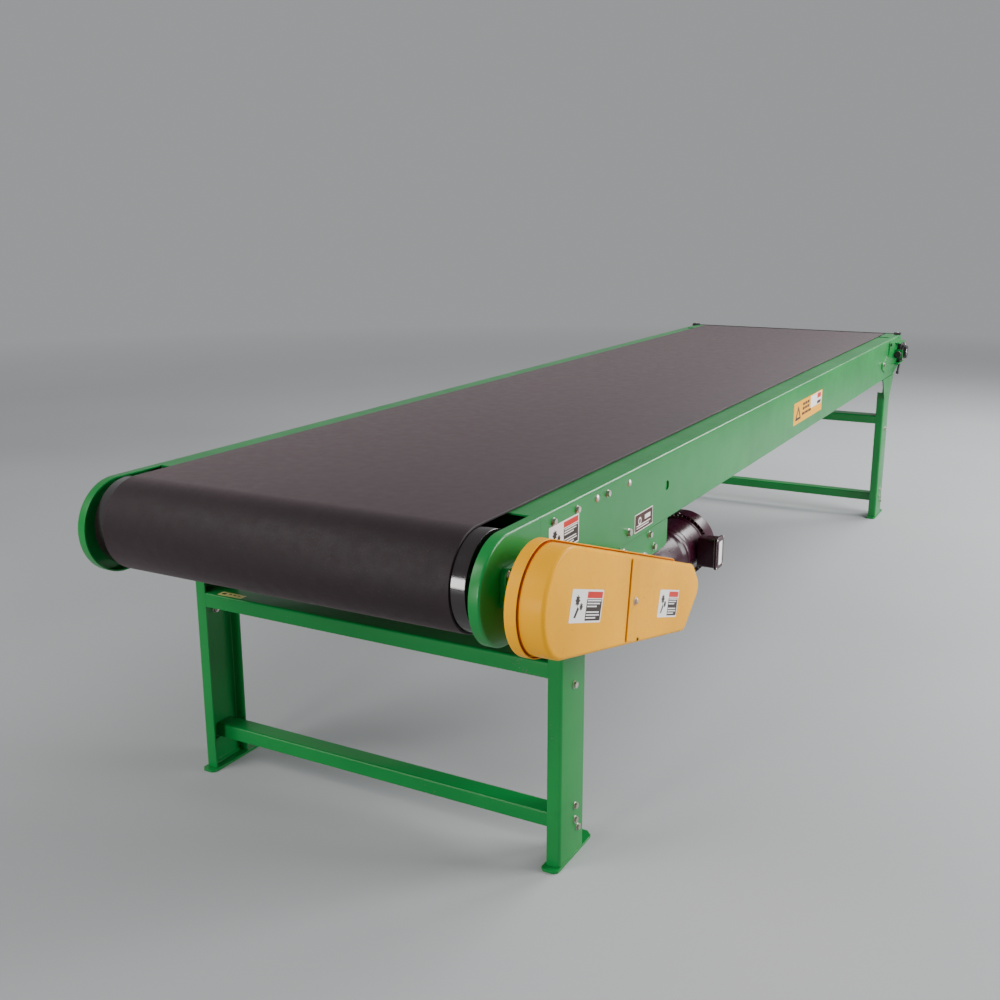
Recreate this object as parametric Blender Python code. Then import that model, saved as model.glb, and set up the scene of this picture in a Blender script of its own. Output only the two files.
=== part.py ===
"""Slider-bed belt conveyor section with an end drive, chain guard and two floor supports.

Metres, +Z up. The belt runs along Y with the drive pulley at the low-Y end and the
take-up pulley at the high-Y end. The chain guard is on the +X side. Geometry is laid
out from the drive end, then every object is shifted so the origin is the centre of the
footprint on the floor.
"""
import math

import bpy
from mathutils import Vector

# Frame
HALF_WIDTH = 0.530
SHEET = 0.0035
FRAME_TOP = 0.862
FRAME_BOTTOM = 0.684
TOP_FLANGE = 0.025
BOTTOM_FLANGE = 0.045
FRAME_START_Y = 0.2503
FRAME_END_Y = 4.165
FRAME_END_CHAMFER = 0.155
FRAME_END_LOW_Z = 0.716
GAP = 0.0003
HOLE_Y = 0.9715
HOLE_Z = 0.776
HOLE_RADIUS = 0.0125
THROUGH = 0.6

# Drive end plate
RIM_RADIUS = 0.1145
RIM_FLANGE = 0.025
RIM_STEPS = 40
PLATE_KNEE = 0.075
SHAFT_CLEAR = 0.008

# Bed and braces
BED_START_Y = 0.2503
BED_END_Y = 4.000
BED_LIP = 0.030
BRACE_YS = (0.420, 2.080, 3.900)
BRACE_DEPTH = 0.040
BRACE_BOTTOM = 0.788

# Tail nip strip
NIP_START_Y = 4.150
NIP_THICK = 0.004
EAR_START_Y = 4.128
EAR_KNEE_Y = 4.140
EAR_WIDTH = 0.030
EAR_HEIGHT = 0.018

# Belt
BELT_HALF = 0.457
BELT_THICK = 0.0056
BELT_CLEAR = 0.0006

# Pulleys and rollers
DRIVE_Y = 0.121
DRIVE_RADIUS = 0.1050
TAIL_Y = 4.107
TAIL_RADIUS = 0.0762
PULLEY_HALF = 0.490
PULLEY_SHELL = 0.0065
PULLEY_RECESS = 0.016
PULLEY_DISC = 0.012
ROLLER_RADIUS = 0.0238
ROLLER_HALF = 0.476
ROLLER_SHELL = 0.0030
ROLLER_Z = 0.7132
SNUB_Y = 0.7193
RETURN_YS = (2.080, 3.400)
AXLE_RADIUS = 0.0065
DRIVE_SHAFT_RADIUS = 0.0190
TAIL_SHAFT_RADIUS = 0.0150
PULLEY_SEGMENTS = 64
PULLEY_EDGE = 0.001
ROLLER_RECESS = 0.003
ROLLER_DISC = 0.010
SHAFT_CHAMFER = 0.0015

BELT_LIFT = 0.0004
DRIVE_Z = FRAME_TOP + BELT_LIFT - DRIVE_RADIUS - BELT_CLEAR
TAIL_Z = FRAME_TOP + BELT_LIFT - TAIL_RADIUS - BELT_CLEAR

# Bearings and take-up
BEARING_DEPTH = 0.044
BEARING_FACE = HALF_WIDTH + GAP + BEARING_DEPTH
BEARING_EDGE = 0.0420
BEARING_CORNER = 0.016
BEARING_FLANGE = 0.013
BEARING_BOSS = 0.034
BEARING_BOSS_DEPTH = 0.034
BEARING_COLLAR = 0.027
BEARING_OVERLAP = 0.005
PLATE = 0.0045
TAKE_UP_TRAVEL = 0.050
SLOT_HALF = 0.0185
SLOT_EXTRA = 0.002
TAKE_UP_NOSE_Y = 3.728
TAKE_UP_KNEE_Y = 3.800
TAKE_UP_SHOULDER_Y = 3.866
TAKE_UP_BACK_Y = 4.162
TAKE_UP_TOP = 0.8530
TAKE_UP_BOTTOM = 0.7200
TAKE_UP_NOSE_LOW = 0.7430
TAKE_UP_NOSE_HIGH = 0.7740
TAKE_UP_CORNER_HIGH = 0.812
TAKE_UP_CORNER_LOW = 0.738
RAIL_OFFSET = 0.0490
RAIL_HALF = 0.0025
RAIL_DEPTH = 0.024
RAIL_START_Y = 4.008
RAIL_END_Y = 4.158
LUG_START_Y = 4.0000
LUG_END_Y = 4.0070
LUG_HALF = 0.0200
LUG_DEPTH = 0.042
BLOCK_HALF_Y = 0.043
BLOCK_HALF_Z = 0.0455
BLOCK_DEPTH = 0.024
BLOCK_COLLAR = 0.031
SCREW_OFFSET = 0.0245
SCREW_RADIUS = 0.0080
SCREW_CLEAR = 0.0008
SCREW_HEAD_RADIUS = 0.0120
SCREW_HEAD_START_Y = 3.9600
SCREW_HEAD_END_Y = 3.9710

# Chain drive
CHAIN_PITCH = 0.015875
DRIVEN_TEETH = 28
DRIVE_TEETH = 14
SPROCKET_X = 0.617
SPROCKET_THICK = 0.0087
CHAIN_HALF = 0.0095
CHAIN_PLATE = 0.0038
CHAIN_BAND = 0.0070
CHAIN_STEPS = 24
CHAIN_PINS = 9
CHAIN_PIN_RADIUS = 0.0050
CHAIN_PIN_START = 0.14
CHAIN_PIN_STEP = 0.09
TOOTH_SHAPE = ((-0.30, -0.0046), (-0.12, 0.0044), (0.12, 0.0044), (0.30, -0.0046))
HUB_WALL = 0.012
HUB_DEPTH = 0.014
SHAFT_END_X = 0.634
OUTPUT_Y = 0.790
OUTPUT_Z = 0.5675
OUTPUT_RADIUS = 0.0127

# Chain guard
GUARD_Y = 0.119
GUARD_Z = 0.740
GUARD_TILT = math.radians(16.0)
GUARD_BIG = 0.1105
GUARD_START_ANGLE = math.radians(87.7)
GUARD_STEPS = 36
GUARD_WAIST = 0.20
GUARD_WAIST_HALF = 0.1025
GUARD_NOSE = 0.7860
GUARD_NOSE_ACROSS = 0.0300
GUARD_TOP_CORNER = (0.7150, 0.0822)
GUARD_LOW_CORNER = (0.7045, -0.0823)
GUARD_DRIVE_HOLE = 0.032
GUARD_OUTPUT_HOLE = 0.026
GUARD_BACK_X = 0.578
GUARD_LIP_X = 0.605
GUARD_WALL_START = 0.596
GUARD_FACE_X = 0.660
GUARD_SHEET = 0.002
GUARD_LIP_OFFSET = 0.0060
SEAM_START = 0.3010
SEAM_END = 0.3470
SEAM_SLANT = 0.130
SEAM_RISE = 0.0023
SEAM_LAP = 0.0020
SEAM_STEP_WALL = 0.0042
SEAM_CLEAR = 0.0030
LATCH_Y = 0.4434
LATCH_Z = 0.6460
LATCH_FACE_X = 0.669
LATCH_RADIUS = 0.0068
STANDOFF_START_Y = 0.345
STANDOFF_WIDTH = 0.040
STANDOFF_LOW_Z = 0.700
STANDOFF_HIGH_Z = 0.745
STANDOFF_WALL = 0.003
STANDOFF_EAR = 0.025

# Gear reducer and motor
MOTOR_X = 0.450
MOTOR_Z = 0.523
MOTOR_RADIUS = 0.0850
MOTOR_START_Y = 1.150
MOTOR_END_Y = 1.300
FAN_COVER_RADIUS = 0.093
FAN_COVER_END_Y = 1.352
ADAPTER_START_Y = 0.9303
REDUCER_X0 = 0.392
REDUCER_X1 = 0.5115
REDUCER_Y0 = 0.710
REDUCER_Z0 = 0.466
REDUCER_Z1 = 0.640
REDUCER_Y1 = 0.870
BARREL_RADIUS = 0.048
BARREL_END_Y = 0.915
INPUT_FLANGE = 0.060
BOSS_RADIUS = 0.038
BOSS_FACE_X = 0.540
CAP_RADIUS = 0.046
CAP_DEPTH = 0.012
OUTPUT_START_X = 0.5055
ADAPTER_FLANGE = 0.012
ADAPTER_NECK = 0.050
ADAPTER_NECK_LENGTH = 0.060
MOTOR_RING = 0.030
MOTOR_RING_STEP = 0.002
MOTOR_EDGE = 0.0025
MOTOR_BOSS_RADIUS = 0.0300
MOTOR_BOSS_DEPTH = 0.012
FAN_COVER_WALL = 0.0022
FAN_COVER_OVERLAP = 0.014
FAN_COVER_EDGE = 0.010
FAN_COVER_BORE = 0.012
FAN_SLOTS = 12
FAN_SLOT_SHAPE = ((0.058, -0.0065), (0.080, -0.0080), (0.080, 0.0080), (0.058, 0.0065))
FAN_START_Y = 1.3125
FAN_HUB_RADIUS = 0.016
FAN_HUB_DEPTH = 0.034
FAN_RADIUS = 0.068
FAN_BLADES = 8
FAN_BLADE_DEPTH = 0.030
FAN_BLADE_SHAPE = ((0.010, -0.0012), (0.066, -0.0012), (0.066, 0.0012), (0.010, 0.0012))
CONDUIT_FACE_X = 0.5940
CONDUIT_Y = 1.2410
CONDUIT_Z = 0.5320
CONDUIT_HALF_Y = 0.0310
CONDUIT_HALF_Z = 0.0455
CONDUIT_LIP = 0.0035
BRACKET_X = 0.5120
BRACKET_SHEET = 0.0080
BRACKET_START_Y = 0.690
BRACKET_END_Y = 1.009
BRACKET_LOW_Z = 0.500
BRACKET_STEP_Z = 0.606
BRACKET_STEP_Y = 0.880
BRACKET_SHELF_X = 0.440
BRACKET_HOLE = 0.040

# Floor supports
LEG_SHEET = 0.0045
LEG_FLANGE = 0.034
LEG_DEPTH = 0.126
LEG_YS = (0.3586, 3.861)
LEG_TOP = FRAME_BOTTOM - GAP
LEG_TAPER_START = 0.585
LEG_TAPER = 0.062
LEG_FLANGE_TOP = 0.615
LEG_CAP_WIDTH = 0.042
LEG_CAP_THICK = 0.005
LEG_CAP_INSET = 0.004
FOOT_THICK = 0.0065
FOOT_FRONT = 0.0190
FOOT_BACK = 0.0570
FOOT_WIDTH = 0.043
FOOT_CLIP = 0.008
FOOT_TAB_TOP = 0.0740
FOOT_TAB_THICK = 0.006
FOOT_TAB_CLEAR = 0.002
FOOT_PROUD = 0.0015
UPPER_BEAM_TOP = 0.503
UPPER_BEAM_BOTTOM = 0.465
UPPER_BEAM_DEPTH = 0.070
LOWER_BEAM_TOP = 0.114
LOWER_BEAM_BOTTOM = 0.077
LOWER_BEAM_SET_BACK = 0.0424
LOWER_BEAM_DEPTH = 0.052
BEAM_SHEET = 0.004

# Footprint centre
BACK_Y = TAIL_Y + TAIL_RADIUS + BELT_CLEAR + BELT_THICK
CENTRE_X = (LATCH_FACE_X - BEARING_FACE) / 2
CENTRE_Y = BACK_Y / 2

GREEN = (0.027, 0.205, 0.045, 1.0)
YELLOW = (0.92, 0.40, 0.02, 1.0)
BELT_COLOUR = (0.070, 0.048, 0.053, 1.0)
PULLEY_BLACK = (0.012, 0.012, 0.013, 1.0)
STEEL = (0.56, 0.57, 0.58, 1.0)
DRIVE_DARK = (0.018, 0.007, 0.010, 1.0)
GALVANISED = (0.42, 0.44, 0.45, 1.0)


def clear_scene():
    for item in list(bpy.data.objects):
        bpy.data.objects.remove(item, do_unlink=True)


def paint(name, colour, metallic, roughness):
    """One Principled material per piece."""
    material = bpy.data.materials.new(name)
    material.use_nodes = True
    shader = material.node_tree.nodes["Principled BSDF"]
    shader.inputs["Base Color"].default_value = colour
    shader.inputs["Metallic"].default_value = metallic
    shader.inputs["Roughness"].default_value = roughness
    return material


FINISHES = {
    "green": (GREEN, 0.0, 0.38),
    "yellow": (YELLOW, 0.0, 0.35),
    "belt": (BELT_COLOUR, 0.0, 0.75),
    "black": (PULLEY_BLACK, 0.0, 0.22),
    "steel": (STEEL, 1.0, 0.35),
    "dark": (DRIVE_DARK, 0.0, 0.40),
    "zinc": (GALVANISED, 1.0, 0.45),
}


def enclosed_volume(verts, faces):
    """Signed volume, negative when the faces point inwards."""
    total = 0.0
    for face in faces:
        first = Vector(verts[face[0]])
        for i in range(1, len(face) - 1):
            total += first.dot(Vector(verts[face[i]]).cross(Vector(verts[face[i + 1]])))
    return total / 6


def make_object(name, verts, faces, finish, smooth_deg=None):
    mesh = bpy.data.meshes.new(name)
    if enclosed_volume(verts, faces) < 0:
        faces = [tuple(reversed(face)) for face in faces]
    mesh.from_pydata(verts, [], faces)
    mesh.validate()
    piece = bpy.data.objects.new(name, mesh)
    bpy.context.collection.objects.link(piece)
    colour, metallic, roughness = FINISHES[finish]
    mesh.materials.append(paint(name + "_finish", colour, metallic, roughness))
    if smooth_deg is not None:
        smooth(piece, smooth_deg)
    return piece


def smooth(piece, degrees=35):
    for face in piece.data.polygons:
        face.use_smooth = True
    piece.data.set_sharp_from_angle(angle=math.radians(degrees))


def place(plane, a, b, depth):
    """Point from two in-plane coordinates and the coordinate along the plane's normal."""
    if plane == "YZ":
        return (depth, a, b)
    if plane == "XZ":
        return (a, depth, b)
    return (a, b, depth)


def area(outline):
    total = 0.0
    for i, (a, b) in enumerate(outline):
        c, d = outline[(i + 1) % len(outline)]
        total += a * d - c * b
    return total / 2


def prism(name, outline, plane, low, high, finish="green", smooth_deg=None):
    """Extrude a closed outline along the normal of its plane."""
    points = list(outline)
    count = len(points)
    verts = [place(plane, a, b, low) for a, b in points]
    verts += [place(plane, a, b, high) for a, b in points]
    faces = [tuple(reversed(range(count))), tuple(range(count, 2 * count))]
    for i in range(count):
        j = (i + 1) % count
        faces.append((i, j, count + j, count + i))
    return make_object(name, verts, faces, finish, smooth_deg)


def box(name, xs, ys, zs, finish="green"):
    outline = [(ys[0], zs[0]), (ys[1], zs[0]), (ys[1], zs[1]), (ys[0], zs[1])]
    return prism(name, outline, "YZ", xs[0], xs[1], finish)


def band(name, outer, inner, low, high, finish):
    """Closed loop of even thickness in the YZ plane, extruded along X."""
    count = len(outer)
    if area(outer) < 0:
        outer = list(reversed(outer))
        inner = list(reversed(inner))
    verts = [(low, a, b) for a, b in outer]
    verts += [(high, a, b) for a, b in outer]
    verts += [(low, a, b) for a, b in inner]
    verts += [(high, a, b) for a, b in inner]
    faces = []
    for i in range(count):
        j = (i + 1) % count
        faces.append((i, j, count + j, count + i))
        faces.append((2 * count + j, 2 * count + i, 3 * count + i, 3 * count + j))
        faces.append((j, i, 2 * count + i, 2 * count + j))
        faces.append((count + i, count + j, 3 * count + j, 3 * count + i))
    return make_object(name, verts, faces, finish, 30)


def ring_point(axis, centre, along, radius, angle):
    """Point on a circle about the X or Y axis through centre."""
    across = radius * math.cos(angle)
    lift = radius * math.sin(angle)
    if axis == "X":
        return (centre[0] + along, centre[1] + across, centre[2] + lift)
    return (centre[0] - across, centre[1] + along, centre[2] + lift)


def turned(name, profile, centre, axis="X", finish="steel", segments=48, hollow=False):
    """Revolve (along, radius) pairs about an axis: a solid with flat ends, or a closed ring."""
    count = len(profile)
    verts = []
    for along, radius in profile:
        for k in range(segments):
            verts.append(ring_point(axis, centre, along, radius, math.tau * k / segments))
    faces = []
    last = count if hollow else count - 1
    for i in range(last):
        base = i * segments
        nxt = ((i + 1) % count) * segments
        for k in range(segments):
            m = (k + 1) % segments
            faces.append((base + k, base + m, nxt + m, nxt + k))
    if not hollow:
        faces.append(tuple(reversed(range(segments))))
        faces.append(tuple(range((count - 1) * segments, count * segments)))
    return make_object(name, verts, faces, finish, 30)


def combine(target, others, operation="UNION"):
    """Join or cut with exact booleans, then remove the helpers."""
    for other in others:
        modifier = target.modifiers.new(operation.lower(), "BOOLEAN")
        modifier.operation = operation
        modifier.solver = "EXACT"
        modifier.object = other
    graph = bpy.context.evaluated_depsgraph_get()
    result = bpy.data.meshes.new_from_object(target.evaluated_get(graph))
    material = target.data.materials[0]
    target.modifiers.clear()
    target.data = result
    result.materials.clear()
    result.materials.append(material)
    for face in result.polygons:
        face.material_index = 0
    for other in others:
        bpy.data.objects.remove(other, do_unlink=True)
    return target


def cut(target, *others):
    return combine(target, others, "DIFFERENCE")


def join(target, *others):
    return combine(target, others, "UNION")


def circle(cy, cz, radius, segments=32):
    points = []
    for k in range(segments):
        angle = math.tau * k / segments
        points.append((cy + radius * math.cos(angle), cz + radius * math.sin(angle)))
    return points


def peg(plane, a, b, radius, low, high, segments=32):
    """Round helper along the normal of a plane."""
    return prism("peg", circle(a, b, radius, segments), plane, low, high)


def slot_outline(cy, cz, reach, radius, segments=12):
    """Rounded slot from cy - reach to cy + reach."""
    points = []
    for side in (1, -1):
        for k in range(segments + 1):
            angle = -math.pi / 2 + math.pi * k / segments + (0 if side > 0 else math.pi)
            points.append((cy + side * reach + radius * math.cos(angle), cz + radius * math.sin(angle)))
    return points


def rounded(corners, segments=8):
    """Outline through (a, b, radius) corners, each rounded to its radius."""
    points = []
    count = len(corners)
    for i, (a, b, radius) in enumerate(corners):
        if radius <= 0:
            points.append((a, b))
            continue
        here = Vector((a, b))
        before = (Vector(corners[i - 1][:2]) - here).normalized()
        after = (Vector(corners[(i + 1) % count][:2]) - here).normalized()
        half = before.angle(after) / 2
        reach = radius / math.tan(half)
        middle = here + (before + after).normalized() * radius / math.sin(half)
        start = here + before * reach - middle
        end = here + after * reach - middle
        turn = start.angle_signed(end)
        for k in range(segments + 1):
            angle = -turn * k / segments
            rotated = (
                start.x * math.cos(angle) - start.y * math.sin(angle),
                start.x * math.sin(angle) + start.y * math.cos(angle),
            )
            points.append((middle.x + rotated[0], middle.y + rotated[1]))
    return points


def set_origin(piece, point):
    """Move a piece's origin onto its joint axis without moving its shape."""
    offset = Vector(point)
    for vert in piece.data.vertices:
        vert.co -= offset
    piece.location = offset


def mirror_x(outline, side):
    return [(side * a, b) for a, b in outline]


# ---------------------------------------------------------------- frame

def side_frame(name, side):
    """Formed channel: web outside, flanges turned in, slanted lower corner at the tail."""
    web = HALF_WIDTH
    profile = [
        (web, FRAME_BOTTOM), (web, FRAME_TOP), (web - TOP_FLANGE, FRAME_TOP),
        (web - TOP_FLANGE, FRAME_TOP - SHEET), (web - SHEET, FRAME_TOP - SHEET),
        (web - SHEET, FRAME_BOTTOM + SHEET), (web - BOTTOM_FLANGE, FRAME_BOTTOM + SHEET),
        (web - BOTTOM_FLANGE, FRAME_BOTTOM),
    ]
    channel = prism(name, mirror_x(profile, side), "XZ", FRAME_START_Y, FRAME_END_Y)
    corner = [
        (FRAME_END_Y - FRAME_END_CHAMFER, FRAME_BOTTOM - 0.01), (FRAME_END_Y + 0.02, FRAME_BOTTOM - 0.01),
        (FRAME_END_Y + 0.02, FRAME_END_LOW_Z + 0.02), (FRAME_END_Y, FRAME_END_LOW_Z),
        (FRAME_END_Y - FRAME_END_CHAMFER, FRAME_BOTTOM + 0.0001),
    ]
    wedge = prism("wedge", corner, "YZ", -THROUGH, THROUGH)
    slot_y = TAIL_Y - TAKE_UP_TRAVEL / 2
    reach = TAKE_UP_TRAVEL / 2 + SLOT_EXTRA
    slot = prism("slot", slot_outline(slot_y, TAIL_Z, reach, SLOT_HALF), "YZ", -THROUGH, THROUGH)
    hole = peg("YZ", HOLE_Y, HOLE_Z, HOLE_RADIUS, -THROUGH, THROUGH)
    return cut(channel, wedge, slot, hole)


def end_plate_outline(inset):
    """Half-round nose, then back to the channel's end with a rising lower edge."""
    radius = RIM_RADIUS - inset
    centre_z = FRAME_TOP - RIM_RADIUS
    points = []
    for k in range(RIM_STEPS + 1):
        angle = math.pi / 2 + math.pi * k / RIM_STEPS
        points.append((RIM_RADIUS + radius * math.cos(angle), centre_z + radius * math.sin(angle)))
    back = FRAME_START_Y - GAP
    points.append((RIM_RADIUS + PLATE_KNEE, centre_z - radius))
    points.append((back, FRAME_BOTTOM + inset))
    points.append((back, FRAME_TOP - inset))
    return points


def drive_end_plate(name, side):
    """Plate closing the drive end, with a rim flange turned in around its nose."""
    low, high = sorted((side * HALF_WIDTH, side * (HALF_WIDTH - RIM_FLANGE)))
    plate = prism(name, end_plate_outline(0.0), "YZ", low, high)
    inner = end_plate_outline(SHEET)
    back = FRAME_START_Y + 0.01
    inner[-1] = (back, FRAME_TOP - SHEET)
    inner[-2] = (back, FRAME_BOTTOM + SHEET)
    reach = sorted((side * (HALF_WIDTH - SHEET), side * (HALF_WIDTH - 0.06)))
    pocket = prism("pocket", inner, "YZ", reach[0], reach[1])
    bore = peg("YZ", DRIVE_Y, DRIVE_Z, DRIVE_SHAFT_RADIUS + SHAFT_CLEAR, -THROUGH, THROUGH)
    cut(plate, pocket, bore)
    smooth(plate, 30)
    return plate


def slider_bed():
    """Formed pan under the belt: flat top with both long edges turned down."""
    half = HALF_WIDTH - TOP_FLANGE - GAP
    profile = [
        (-half, FRAME_TOP), (-half, FRAME_TOP - BED_LIP), (-half + SHEET, FRAME_TOP - BED_LIP),
        (-half + SHEET, FRAME_TOP - SHEET), (half - SHEET, FRAME_TOP - SHEET),
        (half - SHEET, FRAME_TOP - BED_LIP), (half, FRAME_TOP - BED_LIP), (half, FRAME_TOP),
    ]
    return prism("slider_bed", profile, "XZ", BED_START_Y, BED_END_Y)


def cross_brace(index, centre_y):
    """Channel tying the two side frames under the bed."""
    half = BRACE_DEPTH / 2
    top = FRAME_TOP - BED_LIP - GAP
    profile = [
        (centre_y - half, BRACE_BOTTOM), (centre_y - half + SHEET, BRACE_BOTTOM),
        (centre_y - half + SHEET, top - SHEET), (centre_y + half - SHEET, top - SHEET),
        (centre_y + half - SHEET, BRACE_BOTTOM), (centre_y + half, BRACE_BOTTOM),
        (centre_y + half, top), (centre_y - half, top),
    ]
    reach = HALF_WIDTH - SHEET - GAP
    return prism("cross_brace_%d" % index, profile, "YZ", -reach, reach)


def tail_nip_strip():
    """Black strip across the tail end with an upturned ear at each side."""
    base = FRAME_TOP + GAP
    strip = box("tail_nip_strip", (-HALF_WIDTH, HALF_WIDTH), (NIP_START_Y, FRAME_END_Y),
                (base, base + NIP_THICK), "black")
    ears = []
    for side in (-1, 1):
        xs = sorted((side * HALF_WIDTH, side * (HALF_WIDTH - EAR_WIDTH)))
        outline = rounded([
            (EAR_START_Y, base, 0), (FRAME_END_Y, base, 0), (FRAME_END_Y, base + EAR_HEIGHT, 0.006),
            (EAR_KNEE_Y, base + EAR_HEIGHT, 0.004),
        ], 4)
        ears.append(prism("ear", outline, "YZ", xs[0], xs[1]))
    return join(strip, *ears)


# ---------------------------------------------------------------- belt

def belt_path(grow):
    """Belt centreline as a closed loop, grown outwards by an offset."""
    half = BELT_THICK / 2
    drive = (DRIVE_Y, DRIVE_Z, DRIVE_RADIUS + BELT_CLEAR + half + grow)
    tail = (TAIL_Y, TAIL_Z, TAIL_RADIUS + BELT_CLEAR + half + grow)
    under = ROLLER_RADIUS + BELT_CLEAR + half - grow
    snub = (SNUB_Y, ROLLER_Z, under)
    last = (RETURN_YS[-1], ROLLER_Z, under)
    points = []
    points += arc_points(drive, math.pi / 2, tangent_angle(drive, snub), 48)
    start = tangent_angle(drive, snub)
    points += arc_points(snub, start - math.pi, math.pi / 2, 6)
    lower = tangent_angle(tail, last, mirrored=True)
    points += arc_points(last, math.pi / 2, lower + math.pi, 4)
    points += arc_points(tail, lower, math.pi / 2, 40)
    return points


def tangent_angle(pulley, roller, mirrored=False):
    """Angle on the pulley where the belt leaves it to pass over a roller on its other side."""
    dy = roller[0] - pulley[0]
    dz = roller[1] - pulley[1]
    distance = math.hypot(dy, dz)
    heading = math.atan2(dz, dy)
    opening = math.acos((pulley[2] + roller[2]) / distance)
    if mirrored:
        return heading + opening
    return heading - opening + math.tau


def arc_points(wheel, start, end, steps):
    points = []
    for k in range(steps + 1):
        angle = start + (end - start) * k / steps
        points.append((wheel[0] + wheel[2] * math.cos(angle), wheel[1] + wheel[2] * math.sin(angle)))
    return points


def belt():
    """Endless belt round both pulleys, carried by the bed and returned over the rollers."""
    half = BELT_THICK / 2
    outer = belt_path(half)
    inner = belt_path(-half)
    return band("belt", outer, inner, -BELT_HALF, BELT_HALF, "belt")


# ---------------------------------------------------------------- pulleys and rollers

def drum(name, centre_y, centre_z, radius, half, shell, bore, recess, disc, finish, segments):
    """Tube with two inset end discs, open through the shaft bore."""
    inner = radius - shell
    profile = [
        (-half, inner), (-half, radius - PULLEY_EDGE), (-half + PULLEY_EDGE, radius),
        (half - PULLEY_EDGE, radius), (half, radius - PULLEY_EDGE), (half, inner),
        (half - recess, inner), (half - recess, bore),
        (half - recess - disc, bore), (half - recess - disc, inner),
        (-half + recess + disc, inner), (-half + recess + disc, bore),
        (-half + recess, bore), (-half + recess, inner),
    ]
    return turned(name, profile, (0, centre_y, centre_z), "X", finish, segments, True)


def shaft(name, centre_y, centre_z, radius, start, end, finish="steel"):
    profile = [
        (start, radius - SHAFT_CHAMFER), (start + SHAFT_CHAMFER, radius),
        (end - SHAFT_CHAMFER, radius), (end, radius - SHAFT_CHAMFER),
    ]
    return turned(name, profile, (0, centre_y, centre_z), "X", finish, 32)


def roller_pair(name, centre_y):
    """Tube roller with its fixed axle between the side frames."""
    bore = AXLE_RADIUS + GAP
    roller = drum(name, centre_y, ROLLER_Z, ROLLER_RADIUS, ROLLER_HALF, ROLLER_SHELL, bore,
                  ROLLER_RECESS, ROLLER_DISC, "zinc", 28)
    set_origin(roller, (0, centre_y, ROLLER_Z))
    reach = HALF_WIDTH - SHEET - GAP
    shaft(name.replace("roller", "axle"), centre_y, ROLLER_Z, AXLE_RADIUS, -reach, reach)


def flange_bearing(name, side, centre_y, centre_z, bore):
    """Square flange bearing with a round boss, bolted outside the side frame."""
    base = HALF_WIDTH + GAP
    corners = []
    for a, b in ((-1, -1), (1, -1), (1, 1), (-1, 1)):
        corners.append((centre_y + a * BEARING_EDGE, centre_z + b * BEARING_EDGE, BEARING_CORNER))
    xs = sorted((side * base, side * (base + BEARING_FLANGE)))
    body = prism(name, rounded(corners, 5), "YZ", xs[0], xs[1])
    boss = sorted((side * (base + BEARING_OVERLAP), side * (base + BEARING_BOSS_DEPTH)))
    collar = sorted((side * (base + BEARING_BOSS_DEPTH - BEARING_OVERLAP), side * BEARING_FACE))
    join(body, peg("YZ", centre_y, centre_z, BEARING_BOSS, boss[0], boss[1], 48),
         peg("YZ", centre_y, centre_z, BEARING_COLLAR, collar[0], collar[1], 40))
    cut(body, peg("YZ", centre_y, centre_z, bore + GAP, -THROUGH, THROUGH, 40))
    smooth(body, 30)
    return body


# ---------------------------------------------------------------- take-up

def take_up_plate(name, side):
    """Outer plate with the shaft slot, guide rails and the screw lug."""
    base = HALF_WIDTH + GAP
    outline = rounded([
        (TAKE_UP_SHOULDER_Y, TAKE_UP_TOP, 0.010), (TAKE_UP_BACK_Y - 0.024, TAKE_UP_TOP, 0.012),
        (TAKE_UP_BACK_Y, TAKE_UP_CORNER_HIGH, 0.012), (TAKE_UP_BACK_Y, TAKE_UP_CORNER_LOW, 0.014),
        (TAKE_UP_BACK_Y - 0.034, TAKE_UP_BOTTOM, 0.016), (TAKE_UP_KNEE_Y, TAKE_UP_BOTTOM, 0.016),
        (TAKE_UP_NOSE_Y, TAKE_UP_NOSE_LOW, 0.012), (TAKE_UP_NOSE_Y, TAKE_UP_NOSE_HIGH, 0.012),
        (TAKE_UP_KNEE_Y, TAKE_UP_NOSE_HIGH, 0.030), (TAKE_UP_SHOULDER_Y + 0.012, TAKE_UP_TOP - 0.055, 0.030),
    ], 5)
    xs = sorted((side * base, side * (base + PLATE)))
    plate = prism(name, outline, "YZ", xs[0], xs[1])
    rails = []
    for direction in (-1, 1):
        z_mid = TAIL_Z + direction * RAIL_OFFSET
        reach = sorted((side * (base + 0.001), side * (base + RAIL_DEPTH)))
        rails.append(box("rail", reach, (RAIL_START_Y, RAIL_END_Y), (z_mid - RAIL_HALF, z_mid + RAIL_HALF)))
    lug_x = sorted((side * (base + 0.001), side * (base + LUG_DEPTH)))
    rails.append(box("lug", lug_x, (LUG_START_Y, LUG_END_Y), (TAIL_Z - LUG_HALF, TAIL_Z + LUG_HALF)))
    join(plate, *rails)
    slot_y = TAIL_Y - TAKE_UP_TRAVEL / 2
    reach = TAKE_UP_TRAVEL / 2 + SLOT_EXTRA
    slot = prism("slot", slot_outline(slot_y, TAIL_Z, reach, SLOT_HALF), "YZ", -THROUGH, THROUGH)
    screw_x = side * (base + SCREW_OFFSET)
    clearance = prism("bore", circle(screw_x, TAIL_Z, SCREW_RADIUS + SCREW_CLEAR, 24), "XZ",
                      LUG_START_Y - 0.05, LUG_END_Y + 0.05)
    return cut(plate, slot, clearance)


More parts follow.
